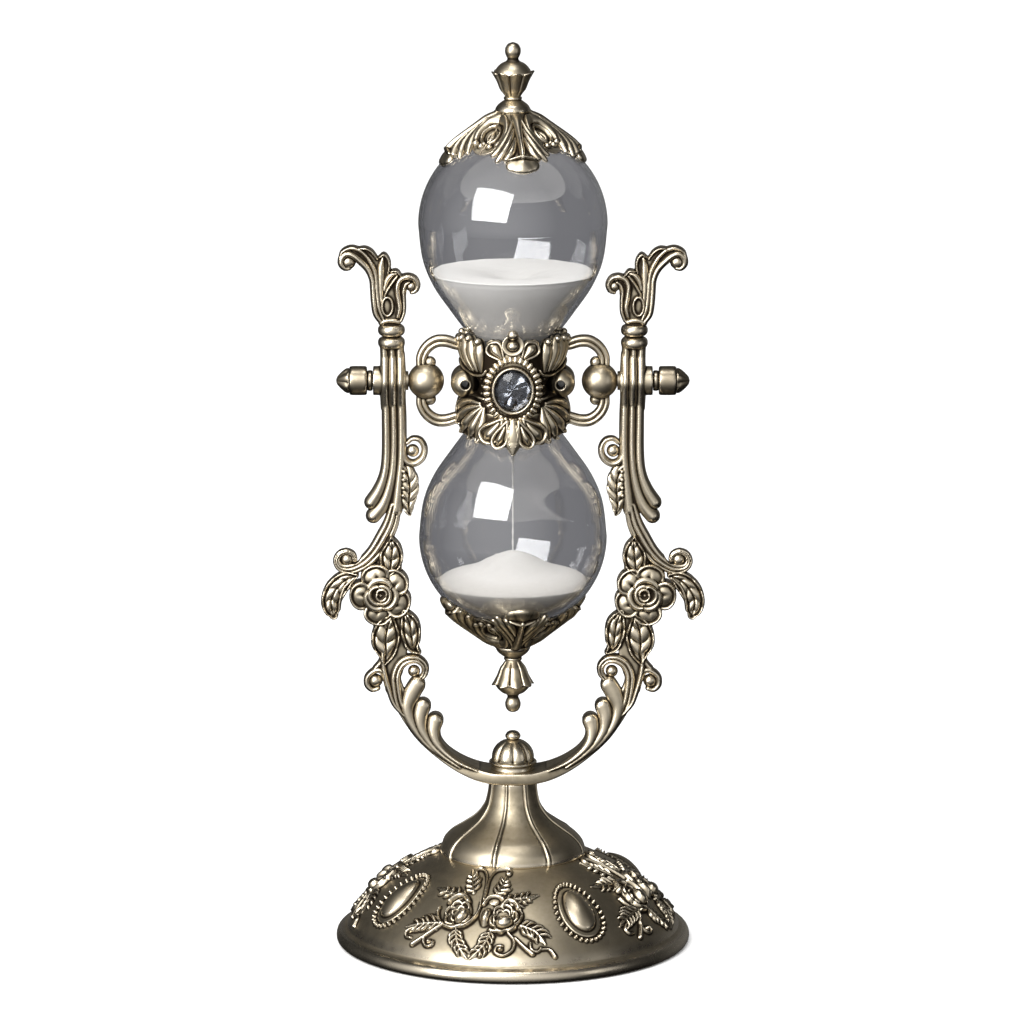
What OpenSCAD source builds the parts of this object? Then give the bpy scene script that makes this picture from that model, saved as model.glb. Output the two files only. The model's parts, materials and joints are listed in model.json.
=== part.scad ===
// Swivelling hourglass: a figure-eight glass in a clamped collar turns between the arms of a cast
// yoke that stands on a domed base. Millimetres, +Z up, front towards -Y, origin under the base.

/* [Base] */
// Diameter over the base's rim
base_d = 120; // [118:0.5:122]
// Wall of the base dome and of the stem
base_wall = 1.6; // [1.4:0.1:2]
// Thickness of the felt under the base
felt_t = 2; // [1.5:0.1:2.5]

/* [Yoke] */
// Height of the turning axis above the table
pivot_h = 193; // [193:0.5:196]
// Depth of the arms, front to back
arm_depth = 6; // [5.5:0.1:7]
// Radius of the bosses that the pivots turn in
boss_r = 4.9; // [4.6:0.1:5.2]
// Radius of the pivot's plain shank
shank_r = 2; // [1.8:0.05:2.2]

/* [Glass] */
// Largest radius of each bulb
bulb_r = 31.6; // [31.4:0.1:31.8]
// Height of each bulb's widest circle from the turning axis
bulb_h = 53; // [52.5:0.1:53.5]
// Wall of the glass
glass_wall = 1.6; // [1.2:0.1:1.8]
// Height of the sand in the upper bulb, from the axis
upper_fill = 38; // [30:1:42]
// Height of the sand's edge in the lower bulb, from the axis
lower_fill = -69; // [-74:1:-66]
// Height of the lower bulb's heap over its edge
heap_h = 12; // [8:0.5:14]

/* [Cradle] */
// Radius of the collar at its waist
collar_r = 16.8; // [16.6:0.1:17]
// Centre of each handle's ball from the axis of the glass
ball_x = 29.1; // [29:0.05:29.2]
// Radius of each handle's ball
ball_r = 6.1; // [6:0.05:6.1]
// Turn of the leaf caps about the glass's axis
cap_turn = 8.5; // [0:0.5:45]

/* [Hidden] */

$fn = 64;
bronze = [0.55, 0.48, 0.36];
bronze_dark = [0.42, 0.36, 0.27];
steel = [0.62, 0.62, 0.6];

slip = 0.05;              // radial play of a turning pin
gap = 0.1;                // air between neighbours that only meet
turn_gap = 0.12;          // air between faces that turn past each other
strap_z = 55.5;           // underside of the yoke's strap
strap_t = 3.9;            // thickness of the strap
strap_top = strap_z + strap_t;
arm_in = 36.6;            // inner and outer faces of the arm at the pivot
arm_out = 44.2;
boss_in = 35.9;           // ends of the pivot boss
boss_out = 46.8;
dome_top = 30.5;          // flat seat of the stem on the base dome
seat_r = 24.5;            // radius of the stem's foot
rod_r = 2.5;              // threaded tie rod through base, stem and strap
nut_seat_r = 8;           // spot face for the cap nut on the strap
ball_flat = ball_x + ball_r - 0.2;
knob_r = 4.9;
thread_r = 1.6;           // pivot's threaded end, which screws into the ball
lug_x = 16.8;             // ball-shaped lugs where the collar halves meet
lug_r = 4.2;
screw_x = 16.8;
screw_r = 1;
collar_wall = 1.5;
cap_wall = 1.2;
stud_r = 1.5;             // finial's stud in the cap
jewel_rx = 6;
jewel_rz = 6.7;

// ---- curves -----------------------------------------------------------------------------------

// Catmull-Rom curve through the points p, n steps to each gap; a point may carry a width as well
function knot(p, i) = p[max(0, min(len(p) - 1, i))];
function blend4(a, b, c, d, t) =
    0.5 * (2 * b + (c - a) * t + (2 * a - 5 * b + 4 * c - d) * t * t
        + (3 * b - a - 3 * c + d) * t * t * t);
function curve(p, n) = concat(
    [for (i = [0:len(p) - 2], k = [0:n - 1])
        blend4(knot(p, i - 1), knot(p, i), knot(p, i + 1), knot(p, i + 2), k / n)],
    [p[len(p) - 1]]);

// Outline of a strip of changing width: each point is [x, y, width]
function normal_at(s, i) =
    let (a = knot(s, i - 1), b = knot(s, i + 1), d = [b.x - a.x, b.y - a.y]) [-d.y, d.x] / norm(d);
function strip_side(s, sign) =
    [for (i = [0:len(s) - 1]) [s[i].x, s[i].y] + sign * s[i].z / 2 * normal_at(s, i)];
function reversed(s) = [for (i = [len(s) - 1:-1:0]) s[i]];
function strip_outline(s) = concat(strip_side(s, 1), reversed(strip_side(s, -1)));

// Points of an arc: centre c, radius r, from angle a to angle b
function arc(c, r, a, b, n) = [for (k = [0:n]) c + r * [cos(a + (b - a) * k / n), sin(a + (b - a) * k / n)]];
function oval(rx, ry, n) = [for (k = [0:n - 1]) [rx * cos(360 * k / n), ry * sin(360 * k / n)]];

// ---- small solids -----------------------------------------------------------------------------

// A 2D outline in X and Z, as a plate of that depth centred on Y = 0
module plate(depth) { translate([0, depth / 2, 0]) rotate([90, 0, 0]) linear_extrude(depth) children(); }
module strip(p, n = 3) { polygon(strip_outline(curve(p, n))); }
module both_sides() { children(); mirror([1, 0, 0]) children(); }
module both_ends() { children(); mirror([0, 0, 1]) children(); }
module at_pivot() { translate([0, 0, pivot_h]) children(); }
module bar_x(x0, x1, r) { translate([x0, 0, 0]) rotate([0, 90, 0]) cylinder(r = r, h = x1 - x0); }
module bar_y(x, y0, y1, r) { translate([x, y0, 0]) rotate([-90, 0, 0]) cylinder(r = r, h = y1 - y0, $fn = 32); }

// ---- base -------------------------------------------------------------------------------------

module felt_pad() { color([0.12, 0.12, 0.13]) cylinder(r = base_d / 2 - 3, h = felt_t, $fn = 128); }

// Profile of the dome's outside, from the rim's roll up to the seat, and the same shape inside it
function dome_line(t) = let (rim = base_d / 2) curve([[rim - 3.4 - t, 5.6 - t * 0.4], [rim - 6.2 - t, 9.8 - t * 0.6],
    [48 - t * 0.7, 16.4 - t * 0.8], [40 - t * 0.5, 22 - t], [32 - t * 0.3, 26.6 - t], [seat_r + 0.4, dome_top - t]], 4);

module base_dome() {
    rim = base_d / 2;
    color(bronze) difference() {
        union() {
            rotate_extrude($fn = 128) polygon(concat(
                [[rim - 2.6, felt_t * 0.3], [rim - 0.8, 0.6]],
                arc([rim - 2, 2.4], 2, -45, 70, 8),
                [[rim - 2.8, 4.7]], dome_line(0), [[0, dome_top], [0, dome_top - base_wall]],
                reversed(dome_line(base_wall)), [[rim - 2.6, 4]]));
            dome_relief();
        }
        translate([0, 0, dome_top - 5]) cylinder(r = rod_r + 0.2, h = 10);
    }
}

// Low relief on the dome: four smooth cabochons in round frames, and four bouquets between them
relief_r = 44.6;
relief_z = 18.9;
relief_tilt = 38;
cabochon_r = 6;
module dome_relief() {
    for (a = [-60:90:210]) on_dome(a) {
        rotate_extrude() polygon(concat([[0, -0.9], [cabochon_r, -0.9]], arc([0, -9.2], 11, 57, 88, 8), [[0, 1.8]]));
        rotate_extrude($fn = 48) translate([8.6, -0.1]) circle(r = 0.9, $fn = 16);
    }
    for (a = [-15:90:255]) on_dome(a) for (side = [-1, 1]) {
        translate([-1, side * 5.4, -1]) cylinder(r = 4.2, h = 2, $fn = 32);
        translate([-1, side * 5.4, 0.4]) sphere(r = 2.2, $fn = 32);
        translate([6, side * 5, -1]) rotate([0, 0, side * 40]) cylinder(r = 3, h = 1.8, $fn = 32);
        translate([-7, side * 10.6, -2]) cylinder(r = 3.4, h = 1.8, $fn = 32);
    }
}
// Stands its children on the slope at that angle from the front, X pointing up the slope
module on_dome(angle) {
    rotate([0, 0, angle - 90]) translate([relief_r, 0, relief_z]) rotate([0, relief_tilt, 0]) mirror([1, 0, 0]) children();
}

module stem() {
    outside = curve([[seat_r, dome_top + 1.2], [23.8, 34], [21.4, 37.4], [17, 40.2], [12.4, 43.4],
        [9.6, 46.8], [8.6, 50], [8.1, strap_z]], 4);
    inside = curve([[seat_r - 2, dome_top + 1.2], [19.6, 36.6], [12, 41], [7.4, 46], [6.2, strap_z - 3]], 4);
    color(bronze) difference() {
        rotate_extrude($fn = 96) polygon(concat([[seat_r - 2, dome_top], [seat_r, dome_top]], outside,
            [[0, strap_z], [0, strap_z - 3]], reversed(inside)));
        translate([0, 0, strap_z - 5]) cylinder(r = rod_r + 0.2, h = 10);
    }
}

module tie_rod() { color(steel) translate([0, 0, 21]) cylinder(r = rod_r, h = strap_top + 7 - 21, $fn = 48); }
module tie_washer() {
    color(steel) translate([0, 0, dome_top - base_wall - 1.2]) difference() {
        cylinder(r = 7, h = 1.2);
        translate([0, 0, -1]) cylinder(r = rod_r + 0.2, h = 4);
    }
}
module tie_nut() {
    color(steel) translate([0, 0, dome_top - base_wall - 5.2]) difference() {
        cylinder(r = 4.6, h = 4, $fn = 6);
        translate([0, 0, -1]) cylinder(r = rod_r, h = 6, $fn = 48);
    }
}

// Lobed cap nut that clamps the yoke to the stem
module dome_nut() {
    color(bronze) translate([0, 0, strap_top]) difference() {
        union() {
            rotate_extrude() polygon(concat([[0, 0], [7, 0]], arc([6.4, 1.5], 1.4, -60, 75, 6),
                [[6.3, 3.3]], arc([0.4, 3.4], 6.4, 8, 68, 8), [[0, 9.4]]));
            translate([0, 0, 10.9]) sphere(r = 2.5, $fn = 48);
        }
        translate([0, 0, -1]) cylinder(r = rod_r, h = 8.4, $fn = 48);
    }
}

// ---- yoke -------------------------------------------------------------------------------------

// Right arm and half of the strap: [x, z, width] from the neck down to the middle
spine = [[40.8, 213, 7.6], [40.4, 203, 7.8], [40.4, 193, 7.6], [39.8, 176, 7.8], [39.9, 162, 8],
    [41.4, 149, 8.4], [43.2, 139, 9], [44.6, 128, 9.6], [44.4, 118, 9.6], [43.2, 107, 9], [42.3, 98, 7.6],
    [40.6, 90, 6.2], [37.6, 82, 5.6], [33.2, 74, 5], [27.4, 67.2, 4.6], [19.6, 61.6, 4.2]];
strap_mid = strap_z + strap_t / 2;
strap_half = concat([for (p = spine) p], [[10, strap_mid + 1, 4], [0, strap_mid, strap_t]]);

// Scrolls that end in a bead: the strip's points, and the bead's centre and radius
scrolls = [
    [[[42.4, 213, 4], [44.4, 221, 4], [45.8, 229.4, 4], [49.6, 235, 3.2], [54.2, 236.6, 2.6],
        [57, 234.2, 2.2], [55.4, 231.8, 1.8]], [54.7, 232.8], 2],
    [[[38.8, 213, 3.6], [37.2, 220, 3.8], [36.4, 225.6, 3.2], [33.6, 228, 2.4], [31.4, 226, 1.8],
        [32.6, 224, 1.4]], [33.6, 224.6], 1.9],
    [[[37.6, 182, 2.4], [37.2, 172, 2.6], [35.4, 166, 2.4], [31.8, 165.6, 2.2], [29.9, 168.6, 2],
        [31.4, 171.8, 1.8], [33.9, 172.2, 1.4], [35.1, 170.8, 1]], [33.7, 169], 2],
    [[[43.4, 145, 4], [45.6, 136.4, 4.2], [50.6, 130.6, 3.8], [56.4, 129.6, 3], [60, 133, 2.4],
        [58.4, 136.8, 2], [55, 137, 1.8], [53.8, 135.2, 1.8]], [55.6, 133.9], 2.3],
    [[[41.6, 86, 3], [43.2, 93, 2.8], [46.8, 94.2, 2.2], [49.2, 91.4, 1.8], [47.8, 88.8, 1.6]], [46.2, 90.6], 2.3],
    [[[37, 82, 3], [38.4, 90, 2.8], [37, 96.6, 2.8], [33.2, 98.9, 2.6], [29.8, 96.4, 2.2],
        [30, 92.6, 1.8], [32.6, 91, 1.8], [34.4, 92.6, 1.8]], [33.3, 94.4], 2]];

// Leaves and rounded horns: strips that swell and narrow
leaves = [
    [[42, 220, 3], [43.6, 229, 4.6], [42.8, 236.4, 1]], [[44.6, 226, 3], [47.6, 234, 3.4], [48.8, 238.4, 1]],
    [[39.4, 220, 3], [38.6, 226, 4.4], [37.2, 230.2, 1]], [[37.6, 166, 3], [35, 157.5, 6.4], [34.6, 148.8, 2]],
    [[42.6, 166, 3], [44, 156, 3.2], [48.4, 150, 3.6]], [[41, 160, 4], [43.2, 149.6, 4], [48.6, 144.8, 4]],
    [[54, 127.4, 2], [59.6, 123.4, 5.4], [62.4, 113.4, 3.4]], [[43, 142, 2], [40.4, 134.6, 7.6], [41.2, 128, 3]],
    [[44.4, 114, 7], [42.8, 104, 9.6], [43.4, 96.6, 3]], [[36.6, 115, 4], [35.6, 107.6, 6], [36.6, 99, 3]],
    [[36.4, 77, 3], [35.4, 84, 4], [33.4, 90.4, 4.8]], [[32.4, 71, 3], [31.8, 77, 4], [31, 82.6, 4.8]],
    [[27, 66, 3], [27.8, 71.6, 3.8], [26.6, 77.4, 4.4]]];

rose_c = [44.3, 120];

module yoke_half() {
    difference() {
        union() {
            plate(arm_depth) strip(strap_half);
            plate(arm_depth - 1.2) {
                for (s = scrolls) {
                    strip(s[0]);
                    translate(s[1]) circle(r = s[2], $fn = 24);
                }
                for (l = leaves) strip(l);
            }
            translate([rose_c.x, arm_depth / 2 + 1, rose_c.y]) rotate([90, 0, 0]) rose(arm_depth + 2);
            for (z = [206.4, 210.8]) translate([40.6, 0, z]) neck_ring();
            translate([0, 0, pivot_h]) bar_x(boss_in, boss_out, boss_r);
            translate([0, 0, pivot_h]) bar_x(arm_in, arm_out, boss_r + 0.7);
        }
        translate([0, 0, pivot_h]) bar_x(boss_in - 1, boss_out + 1, shank_r + slip);
    }
}

module neck_ring() { rotate_extrude($fn = 48) translate([2.6, 0]) circle(r = 1.8, $fn = 24); }

// Five round petals about a bud, h deep
module rose(h) {
    for (a = [44:72:332]) translate(6.2 * [cos(a), sin(a), 0]) cylinder(r = 4.1, h = h, $fn = 32);
    translate([0, 0, -0.6]) cylinder(r = 5.2, h = h + 1.2, $fn = 32);
}

// Round pad in the middle of the strap, under the cap nut
module strap_pad() { translate([0, 0, strap_z]) cylinder(r = 8.6, h = strap_t); }

module yoke() {
    color(bronze) difference() {
        union() {
            both_sides() yoke_half();
            strap_pad();
        }
        translate([0, 0, strap_z - 1]) cylinder(r = rod_r + 0.2, h = strap_t + 2, $fn = 48);
        translate([0, 0, strap_top]) cylinder(r = nut_seat_r, h = 14);
    }
}

// ---- glass and sand ---------------------------------------------------------------------------

// Outside of the upper half from the neck to the widest circle, then a round top
neck_line = curve([[3, 0], [3.8, 4], [7, 8.6], [11, 12.2], [14.9, 16], [21.2, 24.4], [26.7, 32.6],
    [30.2, 41.5], [bulb_r, bulb_h]], 4);
function inset(s, t) = [for (i = [0:len(s) - 1]) s[i] + t * normal_at(s, i)];
function half_line(t) = concat(inset(neck_line, t), arc([0, bulb_h], bulb_r - t, 6, 84, 13), [[0, bulb_h + bulb_r - t]]);
function flipped(s) = [for (p = s) [p.x, -p.y]];
function whole_line(t) = let (s = half_line(t)) concat(reversed(flipped(s)), [for (i = [1:len(s) - 1]) s[i]]);

module glass() {
    color([0.62, 0.63, 0.66, 0.45]) at_pivot() rotate_extrude($fn = 96)
        polygon(concat(whole_line(0), reversed(whole_line(glass_wall))));
}

// Points of the sand's outside against the glass, between two heights
function sand_wall(z0, z1) = [for (p = whole_line(glass_wall + gap)) if (p.y >= z0 && p.y <= z1) p];
function last(s) = s[len(s) - 1];

module sand_upper() {
    wall = sand_wall(0.5, upper_fill);
    edge = last(wall);
    color([0.93, 0.92, 0.9]) at_pivot() rotate_extrude($fn = 96) polygon(concat(
        [[0, wall[0].y]], wall, curve([edge, [edge.x * 0.55, edge.y - 1], [edge.x * 0.2, edge.y - 3], [0, edge.y - 4]], 4)));
}
module sand_lower() {
    wall = sand_wall(-bulb_h - bulb_r, lower_fill);
    edge = last(wall);
    color([0.93, 0.92, 0.9]) at_pivot() rotate_extrude($fn = 96) polygon(concat(wall,
        curve([edge, [edge.x * 0.72, edge.y + heap_h * 0.24], [edge.x * 0.3, edge.y + heap_h * 0.72],
            [edge.x * 0.06, edge.y + heap_h * 0.98], [0, edge.y + heap_h]], 4)));
}
module sand_stream() {
    top = 0.3;
    bottom = sand_wall(-bulb_h - bulb_r, lower_fill);
    foot = last(bottom).y + heap_h + gap;
    color([0.93, 0.92, 0.9]) at_pivot() translate([0, 0, foot]) cylinder(r = 0.4, h = top - foot, $fn = 16);
}

// ---- collar, jewels and handles ---------------------------------------------------------------

collar_line = curve([[17.2, 17], [17.8, 12], [17.3, 6], [collar_r, 0], [17.5, -6], [18.2, -12], [17.4, -17]], 3);

// Front half of the clamp: a waisted band with scalloped leaves, a beaded setting and two half lugs
module collar_half() {
    difference() {
        union() {
            intersection() {
                rotate_extrude($fn = 96) polygon(concat(collar_line, [for (p = reversed(collar_line)) p - [collar_wall, 0]]));
                union() {
                    translate([-30, -30, -14]) cube([60, 60, 28]);
                    for (a = [-150:30:-30]) rotate([0, 0, a]) bar_scallop();
                }
            }
            both_sides() translate([lug_x, 0, 0]) sphere(r = lug_r, $fn = 48);
            setting();
        }
        translate([-40, -gap / 2, -40]) cube([80, 80, 80]);
        both_sides() bar_y(screw_x, -10, 10, screw_r + 0.05);
        both_sides() bar_y(screw_x, -10, -2.4, screw_r + 0.9);
        handle_sockets();
        translate([0, 0, 0]) plate_front(15.9, 4) polygon(oval(jewel_rx + 0.05, jewel_rz + 0.05, 32));
    }
}
module bar_scallop() {
    both_ends() translate([0, 0, 13.4]) rotate([0, 90, 0]) cylinder(r = 3.3, h = 30, $fn = 32);
}
// A 2D outline in X and Z, as a plate from y to y + depth in front of the glass
module plate_front(y, depth) { translate([0, -y, 0]) rotate([90, 0, 0]) linear_extrude(depth) children(); }

module setting() {
    plate_front(15.2, 3.6) difference() {
        polygon(oval(8.8, 10.2, 40));
        polygon(oval(4.2, 4.8, 32));
    }
    plate_front(18.4, 1.4) difference() {
        polygon(oval(jewel_rx + 1, jewel_rz + 1, 40));
        polygon(oval(jewel_rx - 0.1, jewel_rz - 0.1, 32));
    }
}

// Tongues of the handles are gripped between the collar halves
module handle_sockets() { both_sides() both_ends() handle_tongue(gap); }
module handle_tongue(extra) {
    translate([12.4 - extra, -1 - extra, 9.2 - extra]) cube([7.6 + extra, 2 + 2 * extra, 3.6 + 2 * extra]);
}

module collar_front() { color(bronze) at_pivot() collar_half(); }
module collar_back() { color(bronze) at_pivot() rotate([0, 0, 180]) collar_half(); }

module jewel() {
    color([0.6, 0.62, 0.66, 0.7]) translate([0, -17.3, 0]) rotate([90, 0, 0]) {
        linear_extrude(1) polygon(oval(jewel_rx, jewel_rz, 16));
        translate([0, 0, 1]) linear_extrude(1.4, scale = 0.6) polygon(oval(jewel_rx - 0.3, jewel_rz - 0.3, 16));
    }
}
module jewel_front() { at_pivot() jewel(); }
module jewel_back() { at_pivot() rotate([0, 0, 180]) jewel(); }

// Right handle: two C-scrolls that run from the collar into a ball
module handle_half() {
    plate(3.6) {
        strip([[19, 11, 3.4], [21.6, 12.9, 3.6], [24.8, 13.4, 3.6], [28.4, 11.8, 3.4], [30.6, 8.8, 3.2], [30.6, 5.4, 2.6]]);
        translate([28, 6.6]) circle(r = 1.7, $fn = 24);
    }
    handle_tongue(0);
}
module handle() {
    difference() {
        union() {
            both_ends() handle_half();
            translate([ball_x, 0, 0]) sphere(r = ball_r);
        }
        translate([ball_flat, -10, -10]) cube([10, 20, 20]);
        bar_x(ball_x - 3, ball_flat + 1, thread_r + slip);
    }
}
module handle_right() { color(bronze) at_pivot() handle(); }
module handle_left() { color(bronze) at_pivot() mirror([1, 0, 0]) handle(); }

// Two small machine screws and their nuts, sunk in the lugs
module collar_screws() {
    color(steel) at_pivot() both_sides() {
        bar_y(screw_x, -2.4, 3.2, screw_r);
        bar_y(screw_x, -3.4, -2.4, screw_r + 0.8);
    }
}
module collar_nuts() {
    color(steel) at_pivot() both_sides() difference() {
        bar_y(screw_x, 2.4, 3.6, screw_r + 0.8);
        bar_y(screw_x, 2, 4, screw_r);
    }
}

// Rubber rings that pad the glass where the collar grips it
module collar_gaskets() {
    color([0.15, 0.14, 0.13]) at_pivot() both_ends() rotate_extrude($fn = 64)
        polygon([[12.5, 13.1], [16, 13.1], [16, 15.4], [14.8, 15.4]]);
}

// ---- caps and finials -------------------------------------------------------------------------

// Four-leaved cap over the end of a bulb, arched between its leaves
module cap() {
    outside = curve([[3, 95.2], [5.4, 92.6], [8.8, 90.4], [14.4, 85.6], [21.4, 80.2], [23.9, 77.4], [24.9, 74.4]], 3);
    inside = curve([[3.4, 90.6], [8.4, 88.4], [13.8, 84.2], [20.6, 78.8], [22.8, 76.4], [23.75, 74.4]], 3);
    difference() {
        rotate_extrude($fn = 96) polygon(concat([[0, 95.2]], outside, reversed(inside), [[0, 90.6]]));
        for (a = [45:90:315]) rotate([0, 0, a]) translate([0, 0, 67.5]) rotate([0, 90, 0]) cylinder(r = 11.5, h = 40);
        translate([0, 0, 80]) cylinder(r = stud_r, h = 20, $fn = 48);
    }
}
module finial() {
    rotate_extrude($fn = 64) polygon(concat([[0, 95.2], [2.8, 95.2]],
        curve([[3.2, 95.8], [5, 98.4], [6, 101], [7.4, 104.2], [5.6, 106], [2.6, 107.8], [1.9, 108.6]], 3),
        curve([[2.6, 109.8], [2.9, 111.4], [2, 113.2], [0.4, 113.95]], 3), [[0, 114]]));
    translate([0, 0, 90]) cylinder(r = stud_r, h = 6, $fn = 48);
}
module turned() { at_pivot() rotate([0, 0, cap_turn]) children(); }
module top_cap() { color(bronze) turned() cap(); }
module bottom_cap() { color(bronze) turned() mirror([0, 0, 1]) cap(); }
module top_finial() { color(bronze) turned() finial(); }
module bottom_finial() { color(bronze) turned() mirror([0, 0, 1]) finial(); }

// ---- pivots -----------------------------------------------------------------------------------

// Right pivot: an acorn-ended knob on a plain shank, threaded where it enters the ball
module pivot_screw() {
    bar_x(ball_flat + turn_gap, 50, shank_r);
    bar_x(ball_x - 2.5, ball_flat + turn_gap + 0.5, thread_r);
    rotate([0, 90, 0]) rotate_extrude() polygon(concat([[0, boss_out + turn_gap], [3.4, boss_out + turn_gap],
        [3.4, 48.9], [knob_r - 0.3, 48.9], [knob_r, 49.2]],
        curve([[knob_r, 54.6], [4.4, 56], [3, 57.5], [1.2, 58.9]], 3), [[0, 59.2]]));
}
module pivot_screw_right() { color(bronze_dark) at_pivot() pivot_screw(); }
module pivot_screw_left() { color(bronze_dark) at_pivot() mirror([1, 0, 0]) pivot_screw(); }
module pivot_washers() {
    color([0.2, 0.19, 0.18]) at_pivot() both_sides() difference() {
        bar_x(ball_flat, boss_in - turn_gap, 3.2);
        bar_x(ball_flat - 1, boss_in, shank_r + slip);
    }
}

// ---- the nodes --------------------------------------------------------------------------------

felt_pad();
base_dome();
stem();
yoke();
dome_nut();
tie_rod();
tie_washer();
tie_nut();
glass();
sand_upper();
sand_lower();
sand_stream();
collar_front();
collar_back();
jewel_front();
jewel_back();
handle_left();
handle_right();
collar_screws();
collar_nuts();
collar_gaskets();
top_cap();
bottom_cap();
top_finial();
bottom_finial();
pivot_screw_left();
pivot_screw_right();
pivot_washers();
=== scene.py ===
"""Looks of a swivel hourglass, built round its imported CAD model.

Shapes are worked out in millimetres in the CAD frame and turned into metres as each mesh is made.
Cast metal is built up in a block of voxels from strokes, leaves, petals and balls, then skinned.
"""
import json
import math

import bmesh
import bpy
import numpy as np
import openvdb
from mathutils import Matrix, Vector

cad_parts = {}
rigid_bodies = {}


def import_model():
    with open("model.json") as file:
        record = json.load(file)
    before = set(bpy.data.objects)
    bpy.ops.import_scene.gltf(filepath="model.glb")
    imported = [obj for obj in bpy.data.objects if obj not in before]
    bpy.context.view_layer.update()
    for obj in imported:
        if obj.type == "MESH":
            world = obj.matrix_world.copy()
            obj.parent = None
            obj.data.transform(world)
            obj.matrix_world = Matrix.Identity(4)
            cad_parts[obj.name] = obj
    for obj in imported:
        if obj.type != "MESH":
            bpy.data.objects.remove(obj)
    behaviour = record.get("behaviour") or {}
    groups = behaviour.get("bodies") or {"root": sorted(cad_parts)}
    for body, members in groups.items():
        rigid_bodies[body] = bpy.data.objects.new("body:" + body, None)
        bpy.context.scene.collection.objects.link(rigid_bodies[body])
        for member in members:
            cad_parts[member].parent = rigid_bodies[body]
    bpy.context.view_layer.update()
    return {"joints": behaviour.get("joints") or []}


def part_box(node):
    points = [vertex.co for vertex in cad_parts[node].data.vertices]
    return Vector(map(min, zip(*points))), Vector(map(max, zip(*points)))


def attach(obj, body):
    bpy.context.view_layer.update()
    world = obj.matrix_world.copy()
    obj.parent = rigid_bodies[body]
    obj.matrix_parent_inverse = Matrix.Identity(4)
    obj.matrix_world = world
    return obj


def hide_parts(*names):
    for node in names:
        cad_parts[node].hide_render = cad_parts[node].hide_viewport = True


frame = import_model()

MM = 0.001
TURNING = "glass_assembly"                        # the body that turns in the yoke
joints = {j["name"]: j for j in frame["joints"]}
PIVOT = joints["glass_turn"]["pos_m"][2] / MM     # height of the turning axis


def low(node):
    return np.array(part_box(node)[0]) / MM


def high(node):
    return np.array(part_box(node)[1]) / MM


# ---- curves and distances ---------------------------------------------------------------------

def spline(points, step=0.4):
    """Catmull-Rom curve through rows of numbers, whose first two are its place in the plane."""
    p = np.asarray(points, float)
    last = len(p) - 1
    rows = []
    for i in range(last):
        a, b, c, d = p[max(i - 1, 0)], p[i], p[i + 1], p[min(i + 2, last)]
        count = max(2, int(np.hypot(*(c - b)[:2]) / step))
        t = np.linspace(0, 1, count, endpoint=False)[:, None]
        rows.append(0.5 * (2 * b + (c - a) * t + (2 * a - 5 * b + 4 * c - d) * t ** 2
                           + (3 * b - a - 3 * c + d) * t ** 3))
    rows.append(p[-1:])
    return np.concatenate(rows)


def nearest(U, V, path):
    """Distance from each point to a path, the side it lies on and the place along it, from 0 to 1."""
    u, v = U.ravel().astype(np.float32), V.ravel().astype(np.float32)
    far = np.full(u.size, 1e9, np.float32)
    side = np.ones(u.size, np.float32)
    place = np.zeros(u.size, np.float32)
    for i in range(len(path) - 1):
        a, d = path[i, :2], path[i + 1, :2] - path[i, :2]
        du, dv = u - a[0], v - a[1]
        t = np.clip((du * d[0] + dv * d[1]) / max(d @ d, 1e-9), 0, 1)
        du, dv = du - t * d[0], dv - t * d[1]
        gap = du * du + dv * dv
        near = gap < far
        far = np.where(near, gap, far)
        side = np.where(near, np.sign(d[0] * dv - d[1] * du), side)
        place = np.where(near, i + t, place)
    shape = U.shape
    return np.sqrt(far).reshape(shape), side.reshape(shape), place.reshape(shape) / (len(path) - 1)


def smooth_min(a, b, k):
    h = np.maximum(k - np.abs(a - b), 0) / k
    return np.minimum(a, b) - h * h * k / 4


def smooth_max(a, b, k):
    return -smooth_min(-a, -b, k)


def ridged(across, count, depth):
    """1 on the crests of rounded ridges that lie side by side, and 1 - depth in the grooves."""
    local = ((across + 1) * count / 2) % 1 * 2 - 1
    return 1 - depth * (1 - np.sqrt(np.maximum(1 - local ** 2, 0)))


def leftward(line):
    """Unit directions to the left of a line of [r, z] as it runs."""
    slope = np.gradient(line, axis=0)
    slope /= np.linalg.norm(slope, axis=1)[:, None]
    return np.stack([-slope[:, 1], slope[:, 0]], 1)


# ---- shapes in a plane ------------------------------------------------------------------------
# Each gives, for points U, V: the distance to the outline (below zero inside) and the height there.

SURROUND = 1.2         # how far past its outline a shape is worked out


class Along:
    """A shape along a curve. Points are [u, v, half-width, height]."""

    def __init__(self, points):
        self.path = spline(points)
        reach = self.path[:, 2].max() + SURROUND
        self.low = self.path[:, :2].min(0) - reach
        self.high = self.path[:, :2].max(0) + reach

    def measured(self, U, V):
        """Distance to the curve, its side, the place along it, and the half-width and height there."""
        away, side, place = nearest(U, V, self.path)
        steps = np.linspace(0, 1, len(self.path))
        half, height = (np.interp(place, steps, self.path[:, k]) for k in (2, 3))
        return away, side, place, half, height


class Stroke(Along):
    """A rounded band, which may be grooved into ridges that lie side by side."""

    def __init__(self, points, ridges=1, groove=0.0, crown=0.5):
        super().__init__(points)
        self.ridges, self.groove, self.crown = ridges, groove, crown

    def at(self, U, V):
        away, side, _, half, height = self.measured(U, V)
        across = np.clip(side * away / half, -1, 1)
        crest = ridged(across, self.ridges, self.groove)
        return away - half, height * (1 - self.crown * across ** 2) * crest


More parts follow.
